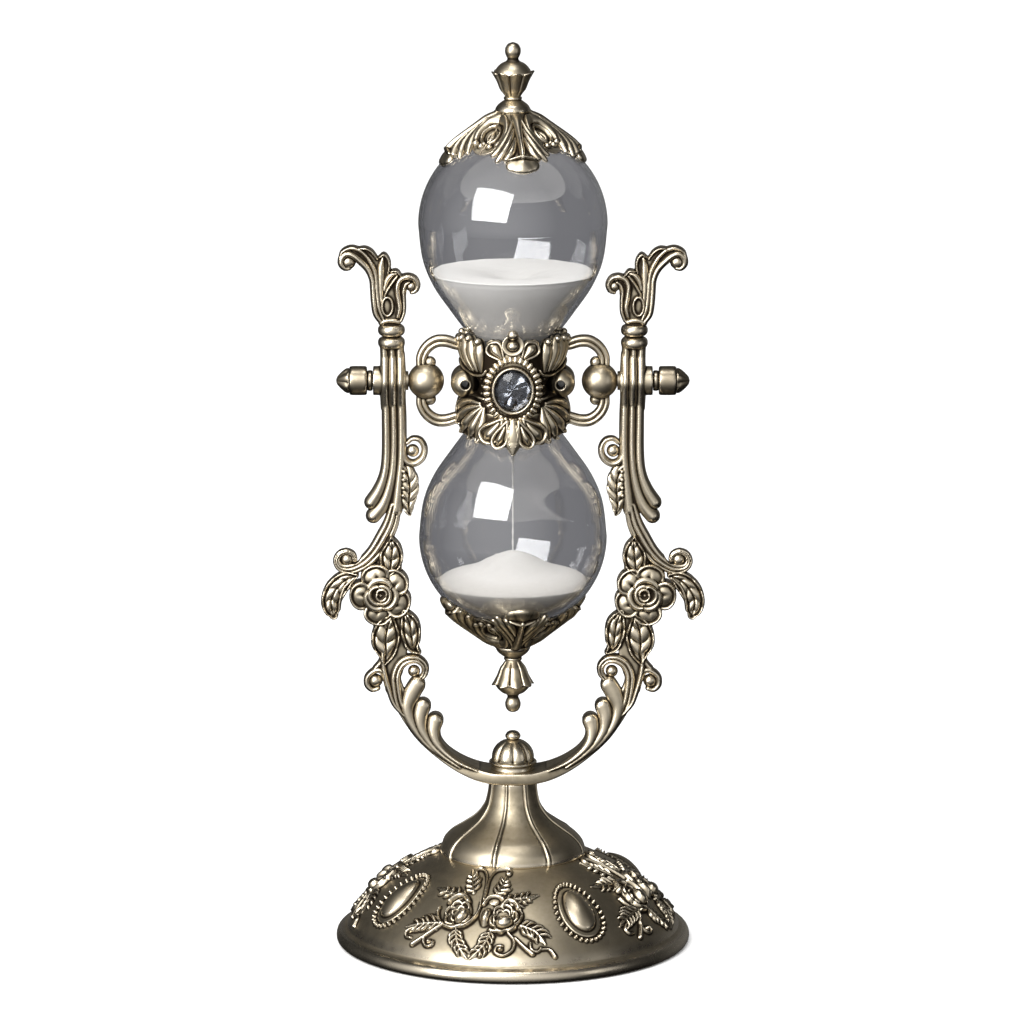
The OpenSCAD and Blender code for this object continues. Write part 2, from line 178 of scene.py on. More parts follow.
class Leaf(Along):
    """A veined leaf with a lobed or a rimmed edge."""

    def __init__(self, points, lobes=4, cut=0.0, vein=0.55, slant=0.7, crown=0.3, rim=0.0):
        super().__init__(points)
        self.lobes, self.cut, self.vein, self.slant = lobes, cut, vein, slant
        self.crown, self.rim = crown, rim

    def at(self, U, V):
        away, _, place, half, height = self.measured(U, V)
        across = np.clip(away / half, 0, 1)
        wave = np.abs(np.sin(np.pi * (self.lobes * place - self.slant * across)))
        edge = np.abs(np.sin(np.pi * (self.lobes * place - self.slant)))
        margin = half * (1 - self.cut * (1 - edge ** 0.6))
        rise = height * (1 - self.crown * across ** 2) + self.vein * (wave ** 0.7 - 0.6)
        rise -= self.vein * 1.2 * np.exp(-(away / 0.3) ** 2)
        if self.rim:
            inward = half - away
            ridge, gully = np.exp(-((inward - 0.45) / 0.35) ** 2), np.exp(-((inward - 1.25) / 0.3) ** 2)
            rise += self.rim * (ridge - 0.8 * gully)
        return away - margin, rise


class Petal:
    """A round pillowed petal with a turned-up rim, at an angle from its flower's middle."""

    def __init__(self, u, v, angle, reach, radius, height, tilt, wide):
        self.u, self.v = u + reach * math.cos(angle), v + reach * math.sin(angle)
        self.angle, self.radius, self.height, self.tilt, self.wide = angle, radius, height, tilt, wide
        self.low = np.array([self.u, self.v]) - radius * wide - 1
        self.high = np.array([self.u, self.v]) + radius * wide + 1

    def at(self, U, V):
        du, dv = U - self.u, V - self.v
        out = (du * math.cos(self.angle) + dv * math.sin(self.angle)) / self.radius
        along = (dv * math.cos(self.angle) - du * math.sin(self.angle)) / self.radius / self.wide
        near = np.hypot(out, along)
        rise = 0.95 * np.clip(1 - (near / 0.74) ** 2, 0, 1)
        rise += 0.95 * np.exp(-((near - 0.88) / 0.13) ** 2) * np.clip(out + 0.6, 0, 1)
        rise -= 0.8 * np.exp(-((along - 0.1) / 0.15) ** 2) * np.clip(0.45 - out, 0, 1)
        return (near - 1) * self.radius, self.height + rise + self.tilt * along - 0.3 * out


class Cup:
    """A ring of rolled petals seen from above: a raised, lobed rim round a hollow."""

    def __init__(self, u, v, radius, height, lobes, turn, rim):
        self.u, self.v, self.radius, self.height = u, v, radius, height
        self.lobes, self.turn, self.rim = lobes, turn, rim
        self.low = np.array([u, v]) - radius - SURROUND
        self.high = np.array([u, v]) + radius + SURROUND

    def at(self, U, V):
        du, dv = U - self.u, V - self.v
        swirl = (self.lobes * (np.arctan2(dv, du) - self.turn) / (2 * math.pi)) % 1
        edge = self.radius * (1.08 - 0.2 * np.abs(2 * swirl - 1) ** 2.5)
        away = np.hypot(du, dv)
        near = away / edge
        rim = self.rim * np.exp(-((near - 0.82) / 0.15) ** 2) * (0.4 + 0.6 * swirl)
        return away - edge, self.height + rim - 0.5 * np.clip(1 - near, 0, 1)


class Disc:
    """A round or oval button, domed by crown; a crown below zero hollows it."""

    def __init__(self, u, v, across, up, height, crown=0.5, turn=0.0):
        self.u, self.v, self.across, self.up = u, v, across, up
        self.height, self.crown, self.turn = height, crown, turn
        reach = max(across, up) + 1
        self.low, self.high = np.array([u, v]) - reach, np.array([u, v]) + reach

    def at(self, U, V):
        c, s = math.cos(self.turn), math.sin(self.turn)
        du = ((U - self.u) * c + (V - self.v) * s) / self.across
        dv = ((V - self.v) * c - (U - self.u) * s) / self.up
        near = np.hypot(du, dv)
        size = min(self.across, self.up)
        return (near - 1) * size, self.height * (1 - self.crown * np.clip(near, 0, 1) ** 2)


class Band:
    """A straight-sided field between two corners."""

    def __init__(self, lowest, highest, height):
        self.first, self.last, self.height = np.array(lowest, float), np.array(highest, float), height
        self.low, self.high = self.first - 1, self.last + 1

    def at(self, U, V):
        (u0, v0), (u1, v1) = self.first, self.last
        away = np.maximum(np.maximum(u0 - U, U - u1), np.maximum(v0 - V, V - v1))
        return away, np.full(U.shape, float(self.height))


def flower(u, v, radius, height):
    """A full-blown rose: five curled petals round a bud of three rolled rings."""
    turns = ((73, -0.1, 0.35), (138, 0.15, 0.4), (207, 0.05, 0.45), (278, -0.1, 0.4), (-3, 0.1, 0.5))
    parts = [Petal(u, v, math.radians(turn), radius * 0.66, radius * 0.39, height + lift, tilt, 1.26)
             for turn, lift, tilt in turns]
    return parts + [Cup(u, v, radius * 0.57, height + 0.7, 3, 0.4, 1.1),
                    Cup(u + 0.4, v + 0.2, radius * 0.38, height + 1.4, 2, 1.5, 1.0),
                    Cup(u - 0.2, v + 0.3, radius * 0.21, height + 2.0, 2, 0.2, 0.7),
                    Disc(u, v + 0.2, 0.7, 0.6, height + 2.4, 0.4)]


def both(points):
    """A run of points and its mirror image across u = 0."""
    return points, [(-p[0], *p[1:]) for p in points]


# ---- cast metal -------------------------------------------------------------------------------

JOIN = 0.25            # how softly the parts of a casting run together
FAR = 4.0              # distance that stands for open space


class Cast:
    """A block of space in which metal is built up: u across, v up and w out of the plane."""

    def __init__(self, lowest, highest, pitch=0.25, back=None):
        self.low, self.pitch, self.back = np.array(lowest, float), pitch, back
        self.axes = [np.arange(a, b, pitch, dtype=np.float32) for a, b in zip(lowest, highest)]
        self.field = np.full([len(a) for a in self.axes], FAR, np.float32)

    def cut(self, lowest, highest):
        """The part of the block between two corners, as slices."""
        first, last = ([int((a - axis[0]) / self.pitch) for a, axis in zip(corner, self.axes)]
                       for corner in (lowest, highest))
        return tuple(slice(max(0, a), max(0, b + 2)) for a, b in zip(first, last))

    def plane(self, cut):
        return np.meshgrid(self.axes[0][cut[0]], self.axes[1][cut[1]], indexing="ij")

    def add(self, shape, edge=0.5, join=JOIN):
        """Metal inside a shape's outline, as far as its height to either side, or from the back out."""
        cut = self.cut(shape.low, shape.high)
        away, height = shape.at(*self.plane(cut))
        w = self.axes[2]
        if self.back is None:
            rise = np.abs(w) - height[..., None]
        else:
            rise = np.maximum(w - height[..., None], self.back - w)
        solid = smooth_max(rise, away[..., None].astype(np.float32), edge)
        self.field[cut] = smooth_min(self.field[cut], solid.astype(np.float32), join)

    def stroke(self, points, edge=0.5, join=JOIN, **form):
        self.add(Stroke(points, **form), edge, join)

    def space(self, lowest, highest):
        cut = self.cut(lowest, highest)
        return cut, np.meshgrid(*(a[c] for a, c in zip(self.axes, cut)), indexing="ij")

    def ball(self, u, v, w, radius, join=0.3):
        r = radius + 1
        cut, (U, V, W) = self.space((u - r, v - r, w - r), (u + r, v + r, w + r))
        solid = np.sqrt((U - u) ** 2 + (V - v) ** 2 + (W - w) ** 2) - radius
        self.field[cut] = smooth_min(self.field[cut], solid, join)

    def hoop(self, u, v, radius, wire):
        """A torus that lies flat round an upright axis."""
        r = radius + wire + 1
        cut, (U, V, W) = self.space((u - r, v - wire - 1, -r), (u + r, v + wire + 1, r))
        solid = np.sqrt((np.hypot(U - u, W) - radius) ** 2 + (V - v) ** 2) - wire
        self.field[cut] = smooth_min(self.field[cut], solid, JOIN)

    def rod(self, u0, u1, v, radius, edge=0.4, remove=False):
        """A round bar along u, or a bore where it is taken away."""
        r = radius + 1
        cut, (U, V, W) = self.space((u0 - 1, v - r, -r), (u1 + 1, v + r, r))
        solid = smooth_max(np.hypot(V - v, W) - radius, np.maximum(u0 - U, U - u1), edge)
        if remove:
            self.field[cut] = np.maximum(self.field[cut], -solid)
        else:
            self.field[cut] = smooth_min(self.field[cut], solid, JOIN)

    def carve(self, shape, edge):
        cut = self.cut(shape.low, shape.high)
        away, _ = shape.at(*self.plane(cut))
        self.field[cut] = smooth_max(self.field[cut], -away[..., None].astype(np.float32), edge)

    def skin(self):
        grid = openvdb.FloatGrid(FAR)
        grid.copyFromArray(self.field)
        points, quads = grid.convertToQuads(isovalue=0.0)
        return Skin(self.low + points.astype(float) * self.pitch, np.asarray(quads, np.int64))


class Relief:
    """Heights on a sheet that closes on itself across u, raised by the same shapes as a casting."""

    STEEP = 2.4        # slope of the raised parts' sides

    def __init__(self, u, v, period):
        self.u, self.v, self.period = u, v, period
        self.height = np.zeros((len(u), len(v)))

    def add(self, shape):
        j = slice(*np.searchsorted(self.v, (shape.low[1], shape.high[1])))
        for shift in (-self.period, 0, self.period):
            i = slice(*np.searchsorted(self.u, (shape.low[0] + shift, shape.high[0] + shift)))
            if i.stop > i.start and j.stop > j.start:
                away, rise = shape.at(*np.meshgrid(self.u[i] - shift, self.v[j], indexing="ij"))
                lift = smooth_min(rise, -self.STEEP * away, 0.35)
                self.height[i, j] = smooth_max(self.height[i, j], lift, 0.2)


class Profile:
    """A line of [r, z], measured along its length from its first point."""

    def __init__(self, points):
        self.line = spline(points, 0.3)
        self.left = leftward(self.line)
        self.along = np.concatenate([[0], np.cumsum(np.hypot(*np.diff(self.line, axis=0).T))])

    def at(self, s, rise=0.0):
        """[r, z] at length s, rise to the left of the line there."""
        place, left = (np.stack([np.interp(s, self.along, rows[:, k]) for k in (0, 1)], -1)
                       for rows in (self.line, self.left))
        return place + np.asarray(rise)[..., None] * left


# ---- meshes -----------------------------------------------------------------------------------

class Skin:
    """Points in millimetres and faces of four corners; a face with its last corner repeated has three."""

    def __init__(self, points, faces):
        self.points, self.faces = np.asarray(points, float), np.asarray(faces, np.int64).reshape(-1, 4)

    def moved(self, rule):
        return Skin(rule(self.points), self.faces)

    def mirrored(self, axis=0):
        points = self.points.copy()
        points[:, axis] *= -1
        return Skin(points, self.faces[:, ::-1])

    def turned(self, degrees, axis=2):
        c, s = math.cos(math.radians(degrees)), math.sin(math.radians(degrees))
        i, j = [(1, 2), (2, 0), (0, 1)][axis]
        points = self.points.copy()
        points[:, i] = self.points[:, i] * c - self.points[:, j] * s
        points[:, j] = self.points[:, i] * s + self.points[:, j] * c
        return Skin(points, self.faces)

    def lifted(self, z):
        return Skin(self.points + [0, 0, z], self.faces)

    def outward(self):
        """Its faces turned so that they look out."""
        a, b, c, d = (self.points[self.faces[:, i]] for i in range(4))
        volume = np.einsum("ij,ij->i", a, np.cross(b, c) + np.cross(c, d)).sum()
        return self if volume > 0 else Skin(self.points, self.faces[:, ::-1])


def joined(skins):
    points, faces, start = [], [], 0
    for s in skins:
        points.append(s.points)
        faces.append(s.faces + start)
        start += len(s.points)
    return Skin(np.concatenate(points), np.concatenate(faces))


def upright(p):
    """Points given as across, up and to the back, turned into X, Y and Z."""
    return p[:, [0, 2, 1]]


def facing(p):
    """Points given as across, up and to the front, turned into X, Y and Z."""
    return p[:, [0, 2, 1]] * [1, -1, 1]


def sheet_of(points, wrap_rows):
    """Faces between rows of points, shape (rows, columns, 3), where each row closes on itself."""
    rows, columns = points.shape[:2]
    i = np.arange(rows if wrap_rows else rows - 1)[:, None]
    j = np.arange(columns)[None, :]
    a, b = i * columns + j, i * columns + (j + 1) % columns
    c, d = (i + 1) % rows * columns + (j + 1) % columns, (i + 1) % rows * columns + j
    faces = np.stack(np.broadcast_arrays(a, b, c, d), -1).reshape(-1, 4)
    return Skin(points.reshape(-1, 3), faces)


def spun(rz, angle):
    """Points at an angle round the Z axis, from [r, z]."""
    r, z = rz[..., 0], rz[..., 1]
    return np.stack([r * np.cos(angle), r * np.sin(angle), z], -1)


def lathe(profile, turn_steps, shape=None, closed=False):
    """A turned form from rows of [r, z], which stop just short of the axis so that no face collapses.

    shape(angle, r, z) may give a new radius and height.
    """
    angle = np.linspace(0, 2 * math.pi, turn_steps, endpoint=False)[None, :]
    rz = np.repeat(np.asarray(profile, float)[:, None, :], turn_steps, axis=1)
    if shape:
        rz = np.stack(shape(np.broadcast_to(angle, rz.shape[:2]), rz[..., 0], rz[..., 1]), -1)
    return sheet_of(spun(rz, angle), wrap_rows=closed).outward()


def hollowness(points, faces, steps):
    """How far each point lies below its surroundings (above zero) or stands proud of them, in mm."""
    a, b = faces.ravel(), np.roll(faces, -1, axis=1).ravel()
    real = a != b
    a, b = a[real], b[real]
    n = len(points)
    count = np.maximum(np.bincount(a, minlength=n) + np.bincount(b, minlength=n), 1)
    smooth = points.copy()
    for _ in range(steps):
        smooth = np.stack([(np.bincount(a, smooth[b, k], n) + np.bincount(b, smooth[a, k], n)) / count
                           for k in range(3)], 1)
    p = [points[faces[:, k]] for k in range(4)]
    face_normal = np.cross(p[2] - p[0], p[3] - p[1])
    normal = np.stack([np.bincount(faces.ravel(), np.repeat(face_normal[:, k], 4), n) for k in range(3)], 1)
    normal /= np.maximum(np.linalg.norm(normal, axis=1), 1e-12)[:, None]
    return ((smooth - points) * normal).sum(1)


def even_grime(amount):
    """Painted shade of the same amount all over, as if the whole piece lay that many millimetres deeper;
    below zero it is painted light.
    """
    def grime(points):
        return np.full(len(points), amount)
    return grime


def piece(name, skin, body, slot, material, replaces=(), steps=(4, 20), weights=(1.6, 0.7), smooth=True,
          grime=None):
    """Makes the mesh object, with its 'hollow' attribute, and ties it to the CAD model.

    The attribute adds up the relief over each number of smoothing steps, by its weight. A further function
    may add patina or painted shade as if each point lay that many millimetres deeper, or painted light as if
    higher.
    """
    mesh = bpy.data.meshes.new(name)
    points, faces = skin.points, skin.faces
    three = faces[:, 2] == faces[:, 3]
    counts = np.where(three, 3, 4)
    keep = np.ones(faces.shape, bool)
    keep[three, 3] = False
    loops = faces[keep]
    mesh.vertices.add(len(points))
    mesh.vertices.foreach_set("co", (points * MM).astype(np.float32).ravel())
    mesh.loops.add(len(loops))
    mesh.loops.foreach_set("vertex_index", loops.astype(np.int32))
    mesh.polygons.add(len(faces))
    mesh.polygons.foreach_set("loop_start", (np.cumsum(counts) - counts).astype(np.int32))
    mesh.polygons.foreach_set("loop_total", counts.astype(np.int32))
    mesh.update(calc_edges=True)
    mesh.polygons.foreach_set("use_smooth", np.full(len(faces), smooth))
    depth = sum(w * hollowness(points, faces, n) for n, w in zip(steps, weights))
    if grime:
        depth = depth + grime(points)
    if steps or grime:
        hollow = mesh.attributes.new("hollow", "FLOAT", "POINT")
        hollow.data.foreach_set("value", depth.astype(np.float32))
    mesh.materials.append(material)
    obj = bpy.data.objects.new(name, mesh)
    bpy.context.scene.collection.objects.link(obj)
    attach(obj, body)
    if replaces:
        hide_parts(*replaces)
    return obj


# ---- materials --------------------------------------------------------------------------------

class Nodes:
    """A new material's node tree, with a short way to add and link nodes."""

    def __init__(self, name):
        self.material = bpy.data.materials.new(name)
        self.material.use_nodes = True
        self.tree = self.material.node_tree
        self.shader = self.tree.nodes["Principled BSDF"]
        self.coords = self.add("ShaderNodeTexCoord").outputs["Object"]

    def add(self, kind, **sockets):
        node = self.tree.nodes.new(kind)
        for key, value in sockets.items():
            self.set(node.inputs[key.replace("_", " ")], value)
        return node

    def set(self, socket, value):
        if isinstance(value, bpy.types.NodeSocket):
            self.tree.links.new(value, socket)
        else:
            socket.default_value = value

    def noise(self, scale, detail, rough=0.55):
        node = self.add("ShaderNodeTexNoise", Vector=self.coords, Scale=scale, Detail=detail,
                        Roughness=rough)
        return node.outputs["Fac"]

    def ramp(self, value, stops):
        node = self.add("ShaderNodeValToRGB", Fac=value)
        marks = node.color_ramp.elements
        while len(marks) < len(stops):
            marks.new(0.5)
        for mark, (position, colour) in zip(marks, stops):
            mark.position, mark.color = position, (*colour, 1)
        return node.outputs["Color"]

    def math(self, kind, a, b):
        node = self.add("ShaderNodeMath")
        node.operation = kind
        self.set(node.inputs[0], a)
        self.set(node.inputs[1], b)
        return node.outputs[0]

    def span(self, value, low_in, high_in, low_out=0.0, high_out=1.0):
        node = self.add("ShaderNodeMapRange", Value=value)
        for i, v in enumerate((low_in, high_in, low_out, high_out)):
            node.inputs[i + 1].default_value = v
        return node.outputs[0]

    def mottle(self, scale, detail, strength):
        """Noise about zero."""
        return self.math("MULTIPLY", self.math("SUBTRACT", self.noise(scale, detail), 0.5), strength)

    def hollow(self):
        """The piece's own attribute: how deep each point lies in its relief, with any painted shade or light
        added in.
        """
        node = self.add("ShaderNodeAttribute")
        node.attribute_name = "hollow"
        return node.outputs["Fac"]

    def bump(self, height, distance, strength):
        node = self.add("ShaderNodeBump", Height=height, Distance=distance, Strength=strength)
        return node.outputs["Normal"]

    def surface(self, **sockets):
        for key, value in sockets.items():
            self.set(self.shader.inputs[key.replace("_", " ")], value)
        return self.material


def grey(v):
    return (v, v, v)


def bronze_material(name, raised, flat, deep):
    """Brushed antique bronze: dark patina lies in the hollows and is rubbed off the crests; painted shade or
    light that a piece adds to its 'hollow' attribute shows the same way.
    """
    n = Nodes(name)
    level = n.math("ADD", n.hollow(), n.mottle(520, 4, 0.12))
    shade = n.span(level, -0.30, 0.30)
    between = tuple(0.5 * (a + b) for a, b in zip(raised, flat))
    dull = tuple(0.32 * c for c in flat)
    colour = n.ramp(shade, [(0.0, raised), (0.36, between), (0.52, flat), (0.66, dull), (0.82, deep)])
    gloss = n.math("ADD", n.span(shade, 0.2, 0.85, 0.26, 0.56), n.mottle(260, 3, 0.1))
    return n.surface(Base_Color=colour, Metallic=1.0, Roughness=gloss,
                     Normal=n.bump(n.noise(2600, 2), 0.00003, 0.5))


def glass_material():
    n = Nodes("clear_glass")
    tint = n.ramp(n.noise(30, 2), [(0.35, (0.965, 0.97, 0.98)), (0.65, (0.98, 0.98, 0.985))])
    return n.surface(Base_Color=tint, Transmission_Weight=1.0, IOR=1.45, Roughness=0.0, Coat_Weight=1.0,
                     Coat_IOR=1.65, Coat_Roughness=0.0)


def crystal_material():
    n = Nodes("crystal")
    tint = n.ramp(n.noise(400, 2), [(0.3, (0.93, 0.95, 0.98)), (0.7, (0.97, 0.97, 0.98))])
    return n.surface(Base_Color=tint, Transmission_Weight=1.0, IOR=1.6, Roughness=0.0)


def foil_material():
    n = Nodes("foil")
    tint = n.ramp(n.noise(700, 3), [(0.3, (0.23, 0.24, 0.26)), (0.7, (0.34, 0.35, 0.37))])
    return n.surface(Base_Color=tint, Metallic=1.0, Roughness=0.22)


def sand_material():
    n = Nodes("sand")
    grain = n.noise(5200, 2, 0.7)
    shade = n.span(n.math("ADD", n.hollow(), n.mottle(1400, 4, 0.25)), -0.1, 1)
    # The darker stops give the beds' painted shade, which their 'hollow' attribute carries.
    tone = n.ramp(shade, [(0, (0.71, 0.70, 0.68)), (0.2, (0.62, 0.60, 0.57)), (0.7, (0.27, 0.24, 0.2))])
    return n.surface(Base_Color=tone, Roughness=0.9, Normal=n.bump(grain, 0.0002, 0.6))


def steel_material():
    n = Nodes("steel")
    # Near-black steel, partly painted shade: it keeps the screw heads dark inside the bores of the collar's
    # lugs.
    tone = n.ramp(n.noise(900, 3), [(0.3, grey(0.12)), (0.7, grey(0.22))])
    return n.surface(Base_Color=tone, Metallic=1.0, Roughness=0.35)


def felt_material():
    n = Nodes("felt")
    fuzz = n.noise(2200, 5, 0.7)
    tone = n.ramp(fuzz, [(0.3, grey(0.012)), (0.7, grey(0.035))])
    return n.surface(Base_Color=tone, Roughness=0.95, Normal=n.bump(fuzz, 0.0003, 0.7))


def rubber_material():
    n = Nodes("gasket")
    tone = n.ramp(n.noise(800, 3), [(0.3, grey(0.02)), (0.7, grey(0.035))])
    return n.surface(Base_Color=tone, Roughness=0.6)


BRONZE = bronze_material("antique_bronze", (0.74, 0.655, 0.515), (0.45, 0.385, 0.275), (0.028, 0.020, 0.013))
DARK_BRONZE = bronze_material("dark_bronze", (0.52, 0.45, 0.34), (0.30, 0.255, 0.185), (0.022, 0.017, 0.012))
GLASS = glass_material()
CRYSTAL = crystal_material()
FOIL = foil_material()
SAND = sand_material()
STEEL = steel_material()
FELT = felt_material()
RUBBER = rubber_material()


def casting(name, skin, body, node, **patina):
    """A piece of antique bronze that stands for one CAD node."""
    piece(name, skin, body, "antique_bronze", BRONZE, [node], **patina)


# ---- yoke -------------------------------------------------------------------------------------

# The right arm with half the strap is a casting where u is X, v is Z and w is Y.

BOSS_IN, BOSS_OUT, BOSS_R = 35.9, 46.8, 4.9
BORE_R = 2.06


def yoke_strap(c):
    """Strap, the outer band that runs up from it, and three lobes whose tails sink into it."""
    c.stroke([(-2, 57.5, 1.95, 8.6), (4, 57.5, 1.95, 8.5), (8, 57.8, 1.95, 8), (13, 59.1, 2.0, 7),
              (18.5, 61.7, 2.1, 5.6), (24, 65.6, 2.3, 4.2), (30, 71.2, 2.5, 3.4), (35.3, 78.8, 2.7, 2.8),
              (39.2, 86.4, 2.6, 2.2), (41.0, 93.5, 2.4, 1.9), (42.0, 100, 2.6, 1.9)], crown=0.03)
    c.stroke([(36.8, 78.4, 0.8, 3.3), (40.0, 82.2, 1.0, 3.4), (41.8, 87.2, 1.1, 3.4), (43.1, 92, 1.1, 3.3),
              (43.8, 96.6, 1.0, 3.1), (43.9, 100, 0.8, 3.0)])
    for points in ([(32.4, 88.8, 2.9, 3.4), (34.2, 85.6, 2.9, 3.6), (35.6, 81, 2.3, 3.7),
                    (34.0, 75.2, 1.9, 3.9), (29.4, 68.9, 1.5, 4.2), (23.6, 64.2, 0.9, 4.9)],
                   [(30.4, 81.4, 2.8, 3.7), (31.3, 78.0, 2.5, 4.0), (30.7, 73.4, 2.0, 4.2),
                    (27.8, 68.8, 1.7, 4.5), (23.6, 64.8, 1.4, 5.2), (18, 61.1, 0.9, 6.2)],
                   [(26.2, 76.4, 2.8, 4.0), (26.8, 73.4, 2.4, 4.4), (26.0, 69.6, 2.0, 4.8),
                    (23.2, 66.2, 1.6, 5.3), (18.4, 62.8, 1.3, 6.3), (12, 60.2, 0.8, 7.4)]):
        c.stroke(points, crown=0.3, edge=1.2, join=0.1)


def yoke_foot(c):
    """Volutes and the arm's body under the rose, with two leaves on it."""
    c.stroke([(35.4, 77.2, 1.4, 3.1), (38.2, 82, 1.9, 3.3), (39.4, 88, 1.9, 3.3), (39.5, 92.2, 1.9, 3.2),
              (38.0, 95.8, 1.9, 3.0), (35.2, 97.6, 1.8, 2.8), (32.0, 97.5, 1.6, 2.6),
              (29.8, 95.4, 1.4, 2.5), (29.8, 92.6, 1.2, 2.3), (31.4, 90.8, 1.0, 2.1), (33.2, 90.6, 0.8, 2)],
             ridges=2, groove=0.45, crown=0.35)
    c.ball(33.4, 93.4, 0, 2.1)
    c.stroke([(41.9, 87, 1.2, 2.6), (42.9, 91.6, 1.3, 2.6), (44.8, 93.9, 1.2, 2.5), (47.2, 93.4, 1.1, 2.4),
              (49.1, 91.4, 1.1, 2.3), (49.2, 88.8, 1.1, 2.2), (47.6, 87.1, 1.0, 2.1), (45.6, 87.5, 0.9, 2)],
             edge=0.6)
    c.ball(46.3, 90.1, 0, 2.3)
    c.stroke([(43.6, 99.0, 1.3, 2.4), (44.6, 96.6, 1.1, 2.3), (46.4, 94.6, 1.0, 2.3)], edge=0.6)
    c.stroke([(40.5, 94, 3.5, 1.9), (40.5, 101, 5.0, 2.0), (41, 108, 5.6, 2.1), (42.5, 114, 6, 2.2)],
             crown=0.2, edge=0.8)
    c.add(Leaf([(41.0, 112.5, 1.4, 3.2), (42.4, 108.6, 4.2, 3.1), (43.0, 104, 4.9, 3.0),
                (42.8, 100, 3.4, 2.9), (43.2, 96.2, 0.7, 2.6)], lobes=3.4, vein=0.6, slant=-0.8, rim=0.8),
          edge=0.4, join=0.1)
    c.add(Leaf([(36.4, 114, 1.4, 3.0), (34.8, 110, 3.3, 2.9), (34.2, 105.4, 3.3, 2.8), (33.6, 102, 2.2, 2.6),
                (31.4, 100.0, 0.6, 2.3)], lobes=3.4, slant=-0.8, rim=0.7), edge=0.4, join=0.1)


def yoke_rose(c):
    """The rose, the rolled leaf at its side, the outer volute behind it and the leaf over it."""
    c.add(Disc(44.4, 120.1, 7.6, 7.6, 2.4, crown=0.2), edge=0.5)
    for part in flower(44.4, 120.1, 10.2, 2.9):
        c.add(part, edge=0.35, join=0.06)
    c.add(Leaf([(52.8, 126.6, 1.0, 2.3), (56.2, 125.2, 3.0, 2.3), (59.4, 122.0, 3.7, 2.3),
                (61.2, 118.0, 3.5, 2.2), (60.8, 114.4, 2.9, 2.1), (60.4, 112.9, 1.6, 2)], lobes=4.5,
               vein=0.5, slant=0.8, rim=0.75), edge=0.45)
    c.stroke([(53.4, 126.0, 0.6, 2.9), (56.6, 122.8, 0.7, 2.9), (58.0, 119.0, 0.7, 2.8),
              (58.6, 114.6, 0.5, 2.5)], crown=0.6, edge=0.4)
    c.stroke([(39.6, 150, 2.2, 2.9), (41.0, 144.4, 2.7, 2.9), (43.4, 139.4, 2.9, 2.9),
              (46.4, 134.6, 2.7, 2.8), (50.0, 131.0, 2.4, 2.7), (54.2, 128.9, 2.0, 2.6),
              (57.8, 129.2, 1.6, 2.5), (59.3, 131.4, 1.3, 2.4), (58.4, 133.8, 1.1, 2.3),
              (56.0, 134.8, 1.0, 2.2), (53.8, 133.8, 0.95, 2.1), (53.2, 131.9, 0.9, 2)], ridges=3,
             groove=0.4, crown=0.35, edge=0.45)
    c.ball(55.8, 131.9, 0, 2.2)
    c.stroke([(42.8, 138, 3.4, 2.4), (41.6, 131, 4.2, 2.3), (42.4, 125, 4.5, 2.2)], crown=0.2, edge=0.8)
    c.add(Leaf([(40.8, 139.6, 0.8, 3.2), (40.6, 136.4, 3.1, 3.1), (40.9, 133.0, 4.1, 3.1),
                (41.2, 129.8, 3.3, 3.0), (41.6, 127.0, 0.8, 2.8)], lobes=3.2, slant=-0.8, rim=0.75),
          edge=0.4, join=0.08)


def yoke_strands(c):
    """Three strands up to the neck, where two rings hold them; an inner volute and a leaf hang on them."""
    c.stroke([(43.0, 205, 1.5, 2.9), (42.6, 193, 1.6, 2.9), (42.4, 180, 1.6, 2.9), (42.4, 167.5, 1.7, 2.9),
              (43.2, 161, 1.8, 3), (45, 155.8, 2.2, 3.2), (47.6, 151.6, 2.4, 3.4)], crown=0.55, edge=0.9,
             join=0.12)
    c.stroke([(40.4, 205, 1.35, 3.1), (40.2, 193, 1.4, 3.1), (39.9, 180, 1.4, 3.1), (40, 167.5, 1.5, 3.1),
              (41, 159, 1.8, 3.1), (43.4, 151.4, 2.3, 3.2), (46.9, 147, 2.6, 3.5)], crown=0.55, edge=0.9,
             join=0.12)
    c.stroke([(37.9, 205, 1.5, 2.9), (37.7, 193, 1.6, 2.9), (37.3, 180, 1.7, 2.9), (37.4, 167.5, 1.7, 2.9),
              (38.2, 158, 1.9, 2.9), (39.2, 149, 2.2, 2.9)], crown=0.55, edge=0.9, join=0.12)
    c.stroke([(40.4, 206, 3.6, 2.1), (40, 180, 3.4, 2.1), (39.6, 165, 3.4, 2.1), (40, 152, 3, 2.1)],
             crown=0.1, edge=0.8)
    c.stroke([(36.6, 176, 0.9, 2.2), (36.9, 169.6, 1.2, 2.5), (36.0, 166, 1.3, 2.6),
              (33.2, 164.9, 1.25, 2.6), (30.4, 166.8, 1.2, 2.5), (29.6, 170, 1.1, 2.4), (31, 172.8, 1, 2.3),
              (33.6, 173.4, 0.9, 2.2), (35.4, 172, 0.8, 2)])
    c.ball(33.6, 169.2, 0, 2.2)
    c.add(Leaf([(37.6, 164.2, 1, 2.6), (35.4, 161.4, 2.9, 2.7), (34.7, 156.6, 3.3, 2.7), (35, 152, 2.4, 2.5),
                (35.0, 148.8, 1.5, 2.3), (34.6, 147.4, 0.6, 2)], lobes=5, cut=0.1, slant=-0.9), edge=0.4)
    for v in (162.4, 159.6, 156.8, 154.2):
        for side in (2.7, -2.7):
            c.ball(36.6 + 0.2 * (162 - v) / 8, v, side, 0.62, 0.1)
    for v in (210.2, 206.0):
        for lift in (-0.3, 0.3):
            c.hoop(40.6, v + lift, 2.9, 1.6)
    c.rod(38.6, 42.6, 208.8, 2.6)


